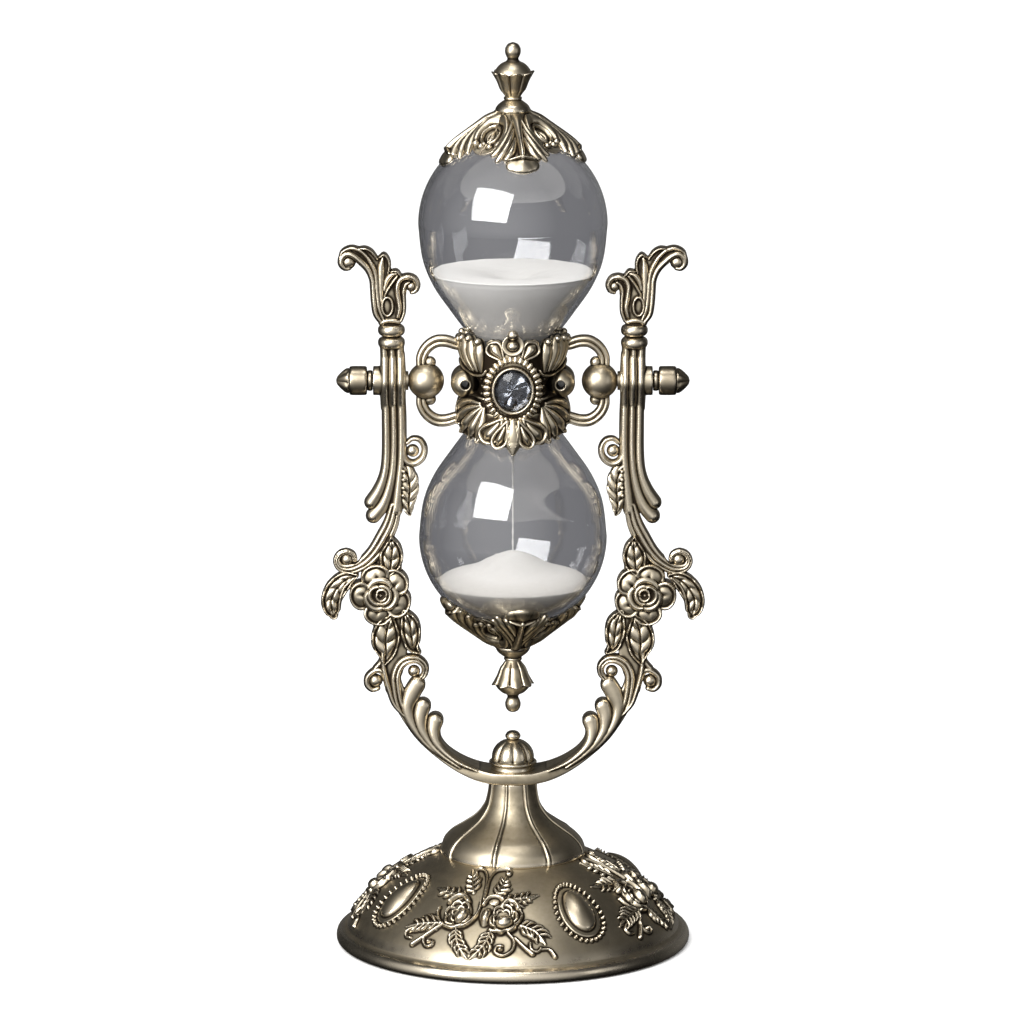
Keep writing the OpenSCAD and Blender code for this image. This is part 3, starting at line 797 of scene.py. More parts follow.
def yoke_head(c):
    """A hooked scroll, three leaf tips with turned-up rims, a ring round a hollow, and an inner scroll."""
    c.stroke([(41.2, 212.4, 3.1, 2.4), (41.2, 217, 4.4, 2.1), (41.6, 222, 4.6, 2.0), (43.0, 227, 3.8, 2.0),
              (45, 231.6, 2.6, 1.9), (48.4, 235.0, 2.2, 1.8), (52.0, 236.6, 1.6, 1.8)], crown=0.2, edge=0.7)
    for plate in ([(42.8, 226, 2.4, 1.9), (42.8, 231, 2.2, 1.9), (42.8, 234.4, 1.3, 1.9)],
                  [(41.2, 226, 2.2, 1.9), (39.4, 228.6, 1.9, 1.9)],
                  [(38.4, 220, 2.6, 1.8), (36.8, 226.4, 1.6, 1.8)]):
        c.stroke(plate, crown=0.1, edge=0.6)
    c.stroke([(43.4, 212.6, 1.0, 2.7), (45.6, 215.5, 1.1, 2.9), (46.3, 219.6, 1.15, 3.0),
              (46.6, 224.3, 1.15, 2.9), (46.9, 227.6, 1.2, 2.9), (48.3, 230.9, 1.3, 2.8),
              (50.8, 233.6, 1.35, 2.8), (53.3, 235.6, 1.3, 2.7), (55.6, 236.0, 1.3, 2.6),
              (57.0, 234.6, 1.3, 2.5), (57.2, 232.6, 1.2, 2.4), (56.0, 231.2, 1.0, 2.2),
              (54.6, 231.2, 0.8, 2)], edge=0.6, join=0.1)
    c.stroke([(57.8, 234.2, 0.5, 2.3), (56.9, 236.8, 0.7, 2.5), (54.2, 238.1, 0.85, 2.6),
              (51.2, 237.4, 0.9, 2.7), (48.8, 235.4, 0.9, 2.7), (46.9, 232.4, 1.0, 2.8),
              (45.7, 228.7, 1.05, 2.8), (45.2, 222.8, 1.1, 2.7), (44.6, 217.7, 1.0, 2.7),
              (43.2, 214.0, 0.8, 2.6)], edge=0.6, join=0.1)
    c.ball(54.8, 233.2, 0, 2.4)
    for body in ([(43.7, 219.0, 1.0, 2.7), (44.0, 224.3, 1.3, 2.8), (44.0, 228.4, 1.5, 2.8),
                  (43.9, 232.0, 1.4, 2.7), (43.4, 234.8, 0.7, 2.5)],
                 [(42.9, 224.0, 0.8, 2.7), (42.0, 227.2, 1.2, 2.8), (40.6, 229.0, 1.1, 2.7),
                  (38.9, 229.6, 0.6, 2.5)]):
        c.stroke(body, crown=0.45, edge=0.6, join=0.08)
    for rim in ([(51.0, 238.0, 0.5, 2.9), (49.0, 238.0, 0.6, 3.1), (46.9, 236.8, 0.6, 3.1),
                 (45.2, 234.4, 0.45, 3.0)],
                [(44.6, 235.0, 0.4, 3.0), (43.0, 236.0, 0.6, 3.1), (41.6, 234.4, 0.6, 3.1),
                 (41.2, 232.0, 0.6, 3.0), (41.7, 229.6, 0.4, 2.9)],
                [(40.8, 230.2, 0.4, 3.0), (38.8, 230.4, 0.6, 3.1), (37.4, 228.8, 0.5, 3.0)]):
        c.stroke(rim, edge=0.45, join=0.06)
    c.stroke([(38.4, 215.0, 0.9, 2.7), (37.8, 218.0, 1.1, 2.9), (38.3, 221.6, 1.15, 2.9),
              (38.6, 225.0, 1.15, 3.0), (37.6, 227.4, 1.15, 2.9), (35.3, 228.4, 1.15, 2.8),
              (33.0, 227.8, 1.1, 2.6), (31.8, 225.7, 1.0, 2.4), (32.4, 223.7, 0.9, 2.2),
              (33.8, 223.0, 0.7, 2)], edge=0.6, join=0.08)
    c.stroke([(37.4, 213.6, 0.7, 2.5), (36.4, 216.4, 0.7, 2.6), (36.3, 220.0, 0.7, 2.6),
              (36.5, 223.4, 0.75, 2.6), (35.8, 225.8, 0.75, 2.6), (34.6, 226.6, 0.6, 2.5)], join=0.08)
    c.ball(33.9, 225.0, 0, 1.8)
    c.stroke([(41.9 + 1.75 * math.cos(t), 218.5 + 3.1 * math.sin(t), 0.62, 3.2)
              for t in np.linspace(0, 2 * math.pi, 17)], join=0.06)
    c.stroke([(38.6, 228.8, 0.55, 3.1), (40.4, 226.4, 0.65, 3.3), (42.1, 223.6, 0.65, 3.4),
              (42.8, 221.8, 0.5, 3.2)], edge=0.45, join=0.06)
    c.stroke([(44.0, 212.8, 1.0, 2.8), (42.2, 213.6, 1.2, 2.9), (40.0, 213.6, 1.2, 2.9),
              (38.2, 213.2, 1.0, 2.8)], join=0.08)


def yoke_boss(c):
    """The pivot's boss, which the strands swell over, and its bore."""
    c.rod(BOSS_IN, BOSS_OUT, PIVOT, BOSS_R)
    c.rod(BOSS_IN + 0.9, BOSS_OUT - 2.9, PIVOT, BOSS_R, edge=0.8)
    for strand, reach in ((42.8, 5.5), (40.2, 6.1), (37.6, 5.5)):
        c.stroke([(strand, PIVOT + up, half, height) for up, half, height in
                  ((9, 1.5, 2.6), (4.5, 1.7, reach - 1.3), (0, 1.9, reach), (-4.5, 1.7, reach - 1.3),
                   (-9, 1.5, 2.6))], crown=0.4, edge=0.7, join=0.12)
    c.rod(BOSS_IN - 2, BOSS_OUT + 2, PIVOT, BORE_R, edge=0.05, remove=True)


def strap_grime(p):
    """The strap at the bottom of the yoke is a little darker towards its bottom."""
    return 0.05 * np.clip((66 - p[:, 2]) / 8, 0, 1)


def make_yoke():
    c = Cast((-0.5, 54, -9.5), (66.5, 240.5, 9.5))
    for stretch in (yoke_strap, yoke_foot, yoke_rose, yoke_strands, yoke_head, yoke_boss):
        stretch(c)
    skin = c.skin().moved(upright).outward()
    skin.points[:, 0] = np.maximum(skin.points[:, 0], 0)
    casting("yoke_casting", joined([skin, skin.mirrored()]), "stand", "yoke", grime=strap_grime)


# ---- base and stem ----------------------------------------------------------------------------

ROD_BORE = 2.7         # radius of the tie rod's hole through base and stem
AROUND = 45.0          # a turn of one radian on the dome counts as this many millimetres across
DOME = Profile([(56.6, 5.4), (54, 9.5), (48, 16), (40, 22.3), (32, 27), (24.4, 30.5), (22.6, 30.8)])
SECTORS = 4
SECTOR = 2 * math.pi / SECTORS * AROUND
FIRST_BOUQUET = math.radians(-15)


def frond(spine, fingers, reach, lean=0.9, width=0.52, height=1.25):
    """A jagged leaf: a rib with long curved fingers along it, over a thin blade."""
    rib = spline(spine)
    last = len(rib) - 1
    middle = last // 2
    parts = [Leaf([(*rib[0], reach * 0.25, 0.3), (*rib[middle], reach * 0.42, 0.35), (*rib[last], 0.3, 0.3)],
                  lobes=fingers, cut=0.4, vein=0.1),
             Stroke([(*rib[0], width * 1.2, height * 0.9), (*rib[middle], width, height),
                     (*rib[last], width * 0.5, height * 0.8)])]
    for k in range(fingers):
        root = int(last * (0.04 + 0.76 * k / fingers))
        along = rib[min(root + 2, last)] - rib[max(root - 2, 0)]
        along /= np.linalg.norm(along)
        for side in (-1, 1):
            uneven = 1 + 0.2 * math.sin(5 * k + 2 * side + reach)
            length = reach * uneven * (1.15 - 0.4 * abs(2 * (k + 0.5) / fingers - 0.8))
            across = np.array([-along[1], along[0]]) * side
            a, tip = rib[root], rib[root] + length * (math.cos(lean) * along + math.sin(lean) * across)
            bend = (a + tip) / 2 + 0.2 * length * across
            parts.append(Stroke([(*a, width * 0.7, height * 0.7), (*bend, width * 1.25, height),
                                 (*tip, width * 0.4, height * 0.8)]))
    return parts


def bouquet():
    """Two roses on split stems, with leaves and scrolls round them, about u = 0."""
    parts = []

    def line(*points, width=0.55, height=1.2):
        parts.append(Stroke([(*p, width, height) if len(p) == 2 else (*p, height) for p in points]))

    def petals(u, v, reach, turns, width=0.85):
        for t in np.radians(turns):
            curl = ((-0.62, 0.74, 0.5, 1.1), (-0.28, 1.0, 0.95, 1.7), (0.2, 1.06, 1.0, 1.9),
                    (0.6, 0.86, 0.6, 1.4))
            parts.append(Stroke([(u + reach * k * math.cos(t + d), v + 1.2 * reach * k * math.sin(t + d),
                                  w * width, h) for d, k, w, h in curl]))

    # split stems with curled ends
    line((0.5, 25.5), (0.0, 29.4), (-0.7, 33.6), (-1.8, 36.6), (-4.0, 39.2), (-6.6, 40.4), (-8.6, 39.9),
         (-9.2, 38.6), (-8.4, 37.9), width=0.62)
    line((0.5, 25.5), (0.5, 30.2), (0.2, 34.4), (0.8, 37.6), (2.6, 40), (5.8, 40.9), (9.4, 41), (11, 39.8),
         (10.4, 38.3), (8.8, 38.4), (8.7, 39.6), width=0.62)
    parts += frond([(-5.0, 28.8), (-7.6, 33), (-9.8, 37.2), (-12.4, 39.6)], 4, 4.2)
    parts += frond([(5.2, 28.6), (7.2, 32.4), (8.2, 35.6), (8.8, 38.2)], 4, 4.2)
    parts += frond([(-7.4, 25.2), (-12, 26.2), (-17, 27.4), (-22.6, 28.2)], 4, 4.0, 0.8)
    parts += frond([(9.2, 25.4), (13.4, 26), (17.6, 26.6), (22.6, 27.8)], 4, 4.0, 0.8)

    # left rose: a bud held by curled petals
    parts.append(Disc(-7.2, 18.6, 4.8, 6.0, 0.8, 0.2))
    petals(-7.0, 18.2, 4.1, (60, 118, 170, 222, 290, 340))
    petals(-6.4, 18.0, 2.6, (95, 160, 215), 0.7)
    line((-12.2, 22.8), (-10.0, 25.6), (-7.0, 25.6), (-5.2, 23.8), width=1.25, height=2.1)
    line((-10.2, 13.2), (-7.4, 12.7), (-4, 13.8), (-1.6, 16.4), (-0.1, 20), (-0.2, 24.2), width=0.75,
         height=1.9)
    line((-15.2, 20), (-14.6, 17.4), (-12.4, 14.6), (-11, 13.8), width=0.6)
    parts.append(Disc(-5.2, 17.4, 2.5, 3.9, 3.2, 0.5, -0.3))

    # right rose and its second bud
    parts.append(Disc(8.6, 18.4, 5.2, 5.6, 0.8, 0.2))
    petals(8.8, 17.4, 4.2, (15, 70, 125, 190, 250, 310))
    petals(8.6, 17.4, 2.9, (60, 120, 175), 0.7)
    parts += [Disc(3.0, 19.4, 2.7, 4.8, 0.9, 0.3), Disc(4.6, 24.6, 2.4, 1.8, 1.1, 0.3)]
    line((1.2, 23.0), (2.6, 25.8), (5.6, 26.6), (8.0, 25.4), width=1.25, height=2.0)
    line((8.2, 22.8), (10.0, 24.8), (12.4, 24.0), (13.6, 21.6), width=1.35, height=2.1)
    line((13.8, 22), (14.8, 19), (13.2, 15.6), (10, 13.0), (6.4, 12.4), (4.6, 13.0), width=0.7, height=1.8)
    line((5.4, 21.4), (5.0, 18.4), (5.8, 15.2), width=0.5, height=1.7)
    parts += [Disc(2.9, 18.2, 1.9, 4.0, 2.8, 0.5, -0.12), Disc(9.0, 15.8, 3.3, 2.9, 3.3, 0.5, 0.35)]
    line((11.4, 21.8), (12, 20.2), (11.8, 18.6), width=0.55, height=1.7)

    # feathers and scrolls below
    parts += frond([(-11.6, 14.0), (-15.4, 13.2), (-19.4, 12.2), (-23.6, 10.2)], 5, 4.4, 0.75)
    line((-11.2, 13.4, 0.5), (-14.2, 9.6, 0.6), (-18.2, 4.6, 0.85))
    line((-12.4, 11.4), (-14.8, 9.6), (-15.2, 7), (-13.8, 5), (-12, 5.4), (-12, 6.8), width=0.5)
    line((-20.4, 10.6), (-22.2, 8.8), (-21.6, 6.9), (-19.8, 6.8), width=0.45)
    parts.append(Disc(-13.2, 6.6, 0.9, 0.9, 1.5))
    parts += frond([(14.2, 14.8), (17.4, 13.6), (19.6, 10.8), (21.2, 7.6)], 5, 4.4, 0.75)
    line((10.2, 12.2), (12, 9.4), (11.6, 5.8), (9, 3.8), (6.8, 5), (7.2, 7), (8.6, 7.2), width=0.5)
    line((12.4, 10.2, 0.5), (14.6, 7.2, 0.65), (17.2, 4.2, 0.8))
    line((16.8, 8.4), (16.9, 6), (18.6, 5.0), (19.8, 6.4), width=0.45)
    line((19.6, 5.8, 0.45), (22, 5.6, 0.5), (23.4, 2.8, 0.7))
    parts.append(Disc(8.2, 6.0, 0.9, 0.9, 1.5))
    for side, root, tip in ((-1, (-6.0, 12.4), (-0.7, 2.0)), (1, (5.0, 12.4), (-0.1, 2.0))):
        bend = ((root[0] + tip[0]) / 2 + side * 1.0, 7.4)
        parts += frond([root, bend, tip], 5, 3.6, 0.55, 0.5, 1.3)
    return parts


def cartouche(u, v):
    """A smooth cabochon inside a border of beads."""
    wide, tall, beads = 8.1, 12.0, 32
    parts = [Disc(u, v, 6.9, 10.6, 0.3, 0), Disc(u, v, 5.2, 8.9, 3.0, 0.7)]
    for k in range(beads):
        t = 2 * math.pi * k / beads
        slope = math.atan2(tall * math.sin(t), wide * math.cos(t))
        parts.append(Disc(u + wide * math.cos(t), v + tall * math.sin(t), 0.85, 0.68, 1.5, 0.6, slope))
    return parts


def make_base():
    columns = 360
    u = (np.arange(columns) / columns - 0.5) * SECTOR
    v = np.arange(0, DOME.along[-1], 0.24)
    relief = Relief(u, v, SECTOR)
    for part in bouquet() + cartouche(SECTOR / 2, 19.4):
        relief.add(part)
    height = np.tile(relief.height, (SECTORS, 1)).T
    round_it = np.concatenate([u + k * SECTOR for k in range(SECTORS)]) / AROUND
    angle = (round_it + FIRST_BOUQUET - math.pi / 2)[None, :]
    line = DOME.at(v[:, None], -height)
    rim = spline([(57.6, 0.5), (59.0, 0.4), (59.8, 1.0), (60, 2.2), (59.7, 3.4), (59.0, 4.2),
                  (58.1, 4.5), (57.3, 4.85)], 0.25)
    inner = np.array([(ROD_BORE, 30.8), (ROD_BORE, 28.9), (24, 28.9), (31.6, 25.4), (39.5, 20.8),
                      (47.2, 14.6), (52, 8.6), (54.6, 3.6), (57.4, 3.2)])
    plain = np.repeat(np.concatenate([inner, rim])[:, None, :], angle.shape[1], axis=1)
    points = spun(np.concatenate([plain, line]), angle)

    # The rim is made lighter in colour from 54.5 mm out.
    def rim_lighter_outward(p):
        return -0.2 * np.clip((np.hypot(p[:, 0], p[:, 1]) - 54.5) / 2, 0, 1)

    casting("base_casting", sheet_of(points, wrap_rows=True).outward(), "stand", "base_dome",
            weights=(1.8, 0.4), grime=rim_lighter_outward)


def make_stem():
    """A trumpet with eight ribs down it, each between two fine grooves."""
    line = Profile([(24.5, 30.6), (24.6, 31.6), (23.6, 34.4), (21, 37.2), (17, 39.8), (12.6, 43),
                    (9.7, 46.8), (8.7, 49.8), (8.2, 52.6), (8.0, 55.4)])
    s = np.arange(0, line.along[-1], 0.22)[:, None]
    columns = 960
    angle = np.linspace(0, 2 * math.pi, columns, endpoint=False)[None, :]
    r = line.at(s)[..., 0]
    across = lobes(angle + math.pi / 2, 8, FIRST_BOUQUET) * math.pi / 8 * r
    half = 0.28 + 0.01 * r
    rise = 0.4 * np.exp(-(across / half) ** 4) - 0.12 * np.exp(-((np.abs(across) - half * 1.9) / 0.28) ** 2)
    foot, top = (np.repeat(np.array(rows)[:, None, :], columns, axis=1)
                 for rows in ([(ROD_BORE, 30.55), (22, 30.55)], [(7.4, 55.5), (ROD_BORE, 55.5)]))
    points = spun(np.concatenate([foot, line.at(s, -rise), top]), angle)
    casting("stem_casting", sheet_of(points, wrap_rows=True).outward(), "stand", "stem")


def lobes(angle, count, turn=0.0):
    """-1 to 1 across each of the lobes that share a turn; 0 on a lobe's crest."""
    return ((angle - turn) * count / (2 * math.pi) + 0.5) % 1 * 2 - 1


def make_cap_nut():
    seat = low("dome_nut")[2]
    rows = [[(2.6, 0), (7.2, 0)],
            spline([(7.5, 0.1), (7.2, 1.2), (7.3, 1.9)]),
            spline([(7.8, 2.0), (8.1, 2.4), (8.0, 2.9), (7.6, 3.1)], 0.2),
            spline([(7.3, 3.2), (7.4, 4.4), (6.9, 6.4), (5.7, 8.2), (4.1, 9.5), (2.7, 10.1), (1.8, 10.3)],
                   0.2),
            spline([(1.8, 10.4), (2.5, 11.0), (2.55, 11.9), (1.8, 12.9), (0.8, 13.3), (0.02, 13.4)], 0.2),
            [(0.02, 3)]]
    profile = np.concatenate(rows) + [0, seat]

    def lobed(angle, r, z):
        dome = np.clip((z - seat - 3.2) / 0.5, 0, 1) * np.clip((seat + 10.1 - z) / 0.6, 0, 1)
        return r * (1 - 0.11 * dome * np.abs(lobes(angle, 8, math.pi / 8)) ** 3), z

    # Painted light: the nut's bronze is made lighter all over.
    casting("cap_nut", lathe(profile, 256, lobed, closed=True), "stand", "dome_nut", grime=even_grime(-0.08))


# ---- glass and sand ---------------------------------------------------------------------------

GLASS_TOP = high("glass")[2] - PIVOT
BULB = high("glass")[0]
BULB_AT = GLASS_TOP - BULB
NECK = [(3, 0), (3.8, 4), (7, 8.6), (11, 12.2), (14.9, 16), (21.2, 24.4), (26.7, 32.6), (30.2, 41.5),
        (BULB, BULB_AT)]
WALL = 1.6             # thickness of the glass
SAND_GAP = 0.12        # between the glass and the sand


def half_glass(inset):
    """Upper half of the bulbs from the waist to the top, that far inside the outer face."""
    neck = spline(NECK, 0.5)
    neck = neck + inset * leftward(neck)
    turn = np.radians(np.arange(3, 91, 1.5))
    top = np.stack([(BULB - inset) * np.cos(turn), BULB_AT + (BULB - inset) * np.sin(turn)], 1)
    top[-1, 0] = 0.01
    return np.concatenate([neck, top])


def whole_glass(inset):
    half = half_glass(inset)
    return np.concatenate([half[:0:-1] * [1, -1], half]) + [0, PIVOT]


def make_glass():
    profile = np.concatenate([whole_glass(0), whole_glass(WALL)[::-1]])
    bulbs = piece("glass_bulbs", lathe(profile, 192, closed=True), TURNING, "clear_glass", GLASS, ["glass"],
                  steps=())
    bulbs.visible_shadow = bulbs.visible_diffuse = False


def ripple(angle, r):
    """Small unevenness of a sand surface, in millimetres."""
    x, y = r * np.cos(angle), r * np.sin(angle)
    waves = sum(np.sin(x * math.cos(a) * k + y * math.sin(a) * k + a * 7) for a, k in
                ((0.3, 0.25), (1.9, 0.4), (3.1, 0.6), (4.4, 0.9), (5.2, 1.3), (2.4, 2.3)))
    return 0.03 * waves


def sand(name, top, lowest, highest, depth, dull):
    """Sand inside the glass between two heights, closed by a top line of [r, z] from its edge to the axis.

    Shade is painted on it: darker down the glass wall below its top, to a depth, and, by the amount dull,
    darker on a heap towards its edge.
    """
    whole = whole_glass(WALL + SAND_GAP)
    wall = whole[(whole[:, 1] > lowest) & (whole[:, 1] < highest - 1.5)]
    lip = [(np.interp(highest - drop, whole[:, 1], whole[:, 0]) - inset, highest - drop)
           for drop, inset in ((0.8, 0.2), (0.25, 0.8))]
    first = [(0.01, wall[0, 1])] if wall[0, 0] > 0.5 else []
    heap = spline([tuple(wall[-1])] + lip + top)
    profile = np.concatenate([np.array(first).reshape(-1, 2), wall, heap[1:]])
    free = len(profile) - len(heap) + 3

    def uneven(angle, r, z):
        row = np.arange(len(profile))[:, None]
        return r, z + np.where(row > free, ripple(angle, r), 0) * np.clip(r / 2, 0.3, 1)

    # Painted shade: darker down the wall below the top edge and towards a heap's edge.
    def painted_sand_shade(p):
        rim = dull * (0.35 + 0.65 * np.clip((np.hypot(p[:, 0], p[:, 1]) - 17) / 10, 0, 1))
        pressed = np.clip((highest - 0.8 - p[:, 2]) / depth, 0, 1)
        return rim + (1 - rim) * pressed * (p[:, 2] < highest)

    piece(name + "_bed", lathe(profile, 160, uneven), TURNING, "sand", SAND, [name], steps=(),
          grime=painted_sand_shade)


def make_sand():
    up, down = high("sand_upper")[2], low("sand_stream")[2] - 0.1
    edge = down - 9.3
    sand("sand_upper", [(17, up - 0.5), (9, up - 1.8), (3.5, up - 3.4), (0.01, up - 4.2)], PIVOT + 0.5, up,
         110, 0)
    sand("sand_lower", [(23, edge + 1.1), (16, edge + 3.3), (10, edge + 6.0), (5, edge + 8.5),
                        (1.8, edge + 9.6), (0.01, edge + 9.8)], 0, edge, 9, 0.36)
    z = np.arange(down - 0.5, PIVOT + 0.4, 0.6)
    thread = np.stack([0.30 + 0.07 * np.sin(z * 1.7) + 0.05 * np.sin(z * 4.1), z], 1)
    ends = np.array([[0.01, z[0]], [0.01, z[-1]]])
    profile = np.concatenate([ends[:1], thread, ends[1:]])
    piece("sand_thread", lathe(profile, 24), TURNING, "sand", SAND, ["sand_stream"], steps=())


# ---- collar -----------------------------------------------------------------------------------

COLLAR_U = 17.2
COLLAR_V = [-21, -17, -12, -6, 0, 6, 12, 17]
COLLAR_R = [19.6, 18.5, 18.2, 17.5, 16.8, 17.2, 17.3, 16.9]


def onto_collar(p):
    u, v, w = p.T
    hollow = 4.2 * np.exp(-((np.abs(u) - 19.5) / 6) ** 2 - (v / 4.2) ** 2)
    r = np.interp(v, COLLAR_V, COLLAR_R) + w - hollow
    return np.stack([r * np.sin(u / COLLAR_U), -r * np.cos(u / COLLAR_U), v], 1)


def rib(c, points):
    """A round rib and its mirror image."""
    for line in both(points):
        c.stroke(line, join=0.1)


def hollow_petal(c, root, tip, half, height, rim):
    """A petal from root to round tip, and its mirror image: a raised rim round a hollow and a rib."""
    root, tip = np.array(root), np.array(tip)
    along = tip - root
    across = np.array([-along[1], along[0]]) / np.linalg.norm(along) * half
    flank = [(0.3, 0.5), (0.62, 0.95), (0.86, 0.85)]
    outline = [root + k * along + m * across for k, m in
               [(0, 0), *flank, (1, 0), *((k, -m) for k, m in flank[::-1]), (0, 0)]]
    fill = [(*(root + k * along), m * half, 0.7 * height)
            for k, m in ((0, 0.2), (0.5, 0.8), (0.8, 0.95), (0.95, 0.6))]
    for line in both(fill):
        c.stroke(line, crown=0.1, edge=0.4, join=0.06)
    for line in both([(*p, rim, height) for p in outline]):
        c.stroke(line, edge=0.4, join=0.06)
    rib(c, [(*(root + k * along), half * m, height * h) for k, m, h in
            ((0.14, 0.2, 0.8), (0.45, 0.5, 1.1), (0.7, 0.66, 1.12), (0.86, 0.5, 0.85))])


def collar_top(c):
    """Tulip petals at the sides with a bead on each tip, then the middle palmette."""
    for tip in ((25.2, 14.2), (21.0, 15.2), (16.6, 15.6), (12.2, 15.0)):
        root = 10.2 + (tip[0] - 10.2) * 0.45
        rib(c, [(root, 5.6, 0.7, 0.9), (root + (tip[0] - root) * 0.4, 9.0, 1.55, 1.6),
                (root + (tip[0] - root) * 0.75, 12.4, 1.95, 1.8), (*tip, 1.45, 1.3)])
        for side in (-1, 1):
            c.ball(side * tip[0], tip[1] + 0.5, 1.2, 1.2)
    rib(c, [(25.8, 7.2, 0.9, 1.1), (20.4, 4.7, 0.9, 1.4), (15, 3.9, 0.8, 1.6), (10.6, 4.3, 0.6, 1.3),
            (9.2, 6.0, 0.5, 1)])
    hollow_petal(c, (2.6, 9.6), (7.4, 15.4), 2.6, 1.9, 0.6)
    c.stroke([(-4.4, 10.6, 1.2, 1.2), (0, 11.2, 2.4, 1.5), (4.4, 10.6, 1.2, 1.2)], crown=0.3, join=0.08)
    c.add(Disc(0, 15.2, 3.3, 3.5, 2.0, -0.4), edge=0.5, join=0.06)
    c.ball(0, 15.0, 2.1, 1.7)
    c.ball(0, 18.6, 1.9, 1.7)


def collar_foot(c):
    """Shells of rounded ribs at the sides inside a scalloped rim, then the middle palmette."""
    root = np.array([9.6, -5.4])
    tips = ((26, -9.4), (23.4, -13.2), (19.4, -15.8), (15.2, -17.2), (11.6, -18.0))
    for k, tip in enumerate(tips):
        reach = np.array(tip) - root
        bow = np.array([-reach[1], reach[0]]) * (0.13 - 0.045 * k)

        def row(*marks):
            """Points some way along to the tip and out along the bow, with their half-widths and heights."""
            return [(*(root + t * reach + b * bow), width, height) for t, b, width, height in marks]

        rib(c, row((0.1, 0.3, 0.6, 1.0), (0.4, 1, 1.25, 1.9), (0.66, 0.8, 1.65, 2.3), (0.84, 0.4, 1.3, 1.6)))
        rib(c, row((0.9, -0.9, 0.5, 1.3), (1.0, -0.2, 0.62, 1.5), (0.99, 0.6, 0.62, 1.5),
                   (0.88, 1.4, 0.5, 1.3)))
    for line in both([(8, -12.6, 4.4, 0.6), (13, -12.4, 4.6, 0.6), (18, -11.4, 4.8, 0.6),
                      (23, -9.6, 3.6, 0.6), (26, -8, 2, 0.6)]):
        c.stroke(line, crown=0.1, edge=0.4)
    for side in (-1, 1):
        for v in (3.0, 0.6, -1.8):
            c.ball(side * 11.4, v, 0.4, 0.62)
    rib(c, [(9.8, -3.6, 0.6, 1.2), (15, -2.9, 0.85, 1.6), (20.6, -3.6, 0.9, 1.6), (25.8, -6.4, 0.8, 1.3)])
    hollow_petal(c, (3.0, -9.4), (8.6, -17.2), 3.0, 2.7, 0.85)
    hollow_petal(c, (1.6, -10.0), (4.6, -19.0), 2.0, 3.2, 0.75)
    c.add(Leaf([(0, -10.4, 1.4, 2.6), (0, -14, 2.8, 3.5), (0, -17.6, 2.6, 3.5), (0, -21.0, 0.8, 2.5)],
               vein=0, crown=0.4), edge=0.6, join=0.06)
    rib(c, [(0.9, -11.4, 0.3, 3.0), (1.3, -15.0, 0.4, 3.6), (0.7, -18.8, 0.3, 3.4)])


def collar_band():
    """Leafy band of one collar half: u runs round it, v is up and w is out."""
    edge = math.pi / 2 * COLLAR_U - 0.06
    c = Cast((-edge - 0.5, -21.6, -2), (edge + 0.75, 21.6, 4.6), 0.2, back=-1.3)
    c.add(Band((-edge, -13), (edge, 12.4), 0), edge=0.3)
    collar_top(c)
    collar_foot(c)
    return c.skin().moved(onto_collar)


LUG = (15.9, 4.6, 4.9)     # the lugs' X, their distance in front of the axis, and their radius


def collar_lugs():
    """A ball at the end of a collar half, bored for its clamp screw: u is X, v is Z and w is forward."""
    across, forward, radius = LUG
    bore = 1.5
    c = Cast((across - radius - 1, -radius - 1, -0.5),
             (across + radius + 1, radius + 1, forward + radius + 1), 0.2)
    c.ball(across, 0, forward, radius)
    U, V, W = np.meshgrid(*c.axes, indexing="ij")
    away = np.hypot(U - across, V)
    c.field = np.maximum(smooth_max(c.field, (bore - away).astype(np.float32), 0.4), 0.06 - W)
    return c.skin().moved(facing)


def collar_setting():
    """Beaded oval that holds the stone: u is X, v is Z and w is forward."""
    c = Cast((-11.4, -12.8, 14.4), (11.4, 12.8, 22), 0.2, back=15)
    rim = [(6.6 * math.cos(t), 7.5 * math.sin(t), 0.5, 20.5) for t in np.linspace(0, 2 * math.pi, 41)]
    c.add(Disc(0, 0, 9.3, 11.2, 18.4, 0.0), edge=0.8)
    c.stroke(rim, crown=0.02, edge=0.45)
    c.carve(Disc(0, 0, 6.15, 6.85, 0), edge=0.1)
    beads = 32
    for k in range(beads):
        t = 2 * math.pi * (k + 0.5) / beads
        for reach in (-0.55, 0, 0.55):
            c.ball((8.75 + reach) * math.cos(t), (10.5 + reach) * math.sin(t), 18.9 - 0.3 * reach, 0.78, 0.3)
    return c.skin().moved(facing)


STONE = (6.1, 6.9)     # half the stone's width and height


def cut_stone():
    """Crown of an oval brilliant: rings of corners, closed by their convex hull."""
    rings = ((8, 0.5, 20.2, 0.5), (8, 0.8, 19.7, 0.0), (16, 0.99, 18.9, 0.25), (16, 0.99, 18.5, 0.25))
    wide, tall = STONE
    build = bmesh.new()
    for count, scale, depth, turn in rings:
        for k in range(count):
            t = 2 * math.pi * (k + turn) / count
            build.verts.new((wide * scale * math.cos(t), -depth, tall * scale * math.sin(t)))
    bmesh.ops.convex_hull(build, input=build.verts)
    bmesh.ops.dissolve_limit(build, angle_limit=0.01, verts=build.verts, edges=build.edges)
    bmesh.ops.triangulate(build, faces=build.faces)
    build.verts.index_update()
    points = [v.co[:] for v in build.verts]
    faces = [[v.index for v in f.verts] for f in build.faces]
    build.free()
    return Skin(points, [f + f[-1:] for f in faces]).outward()


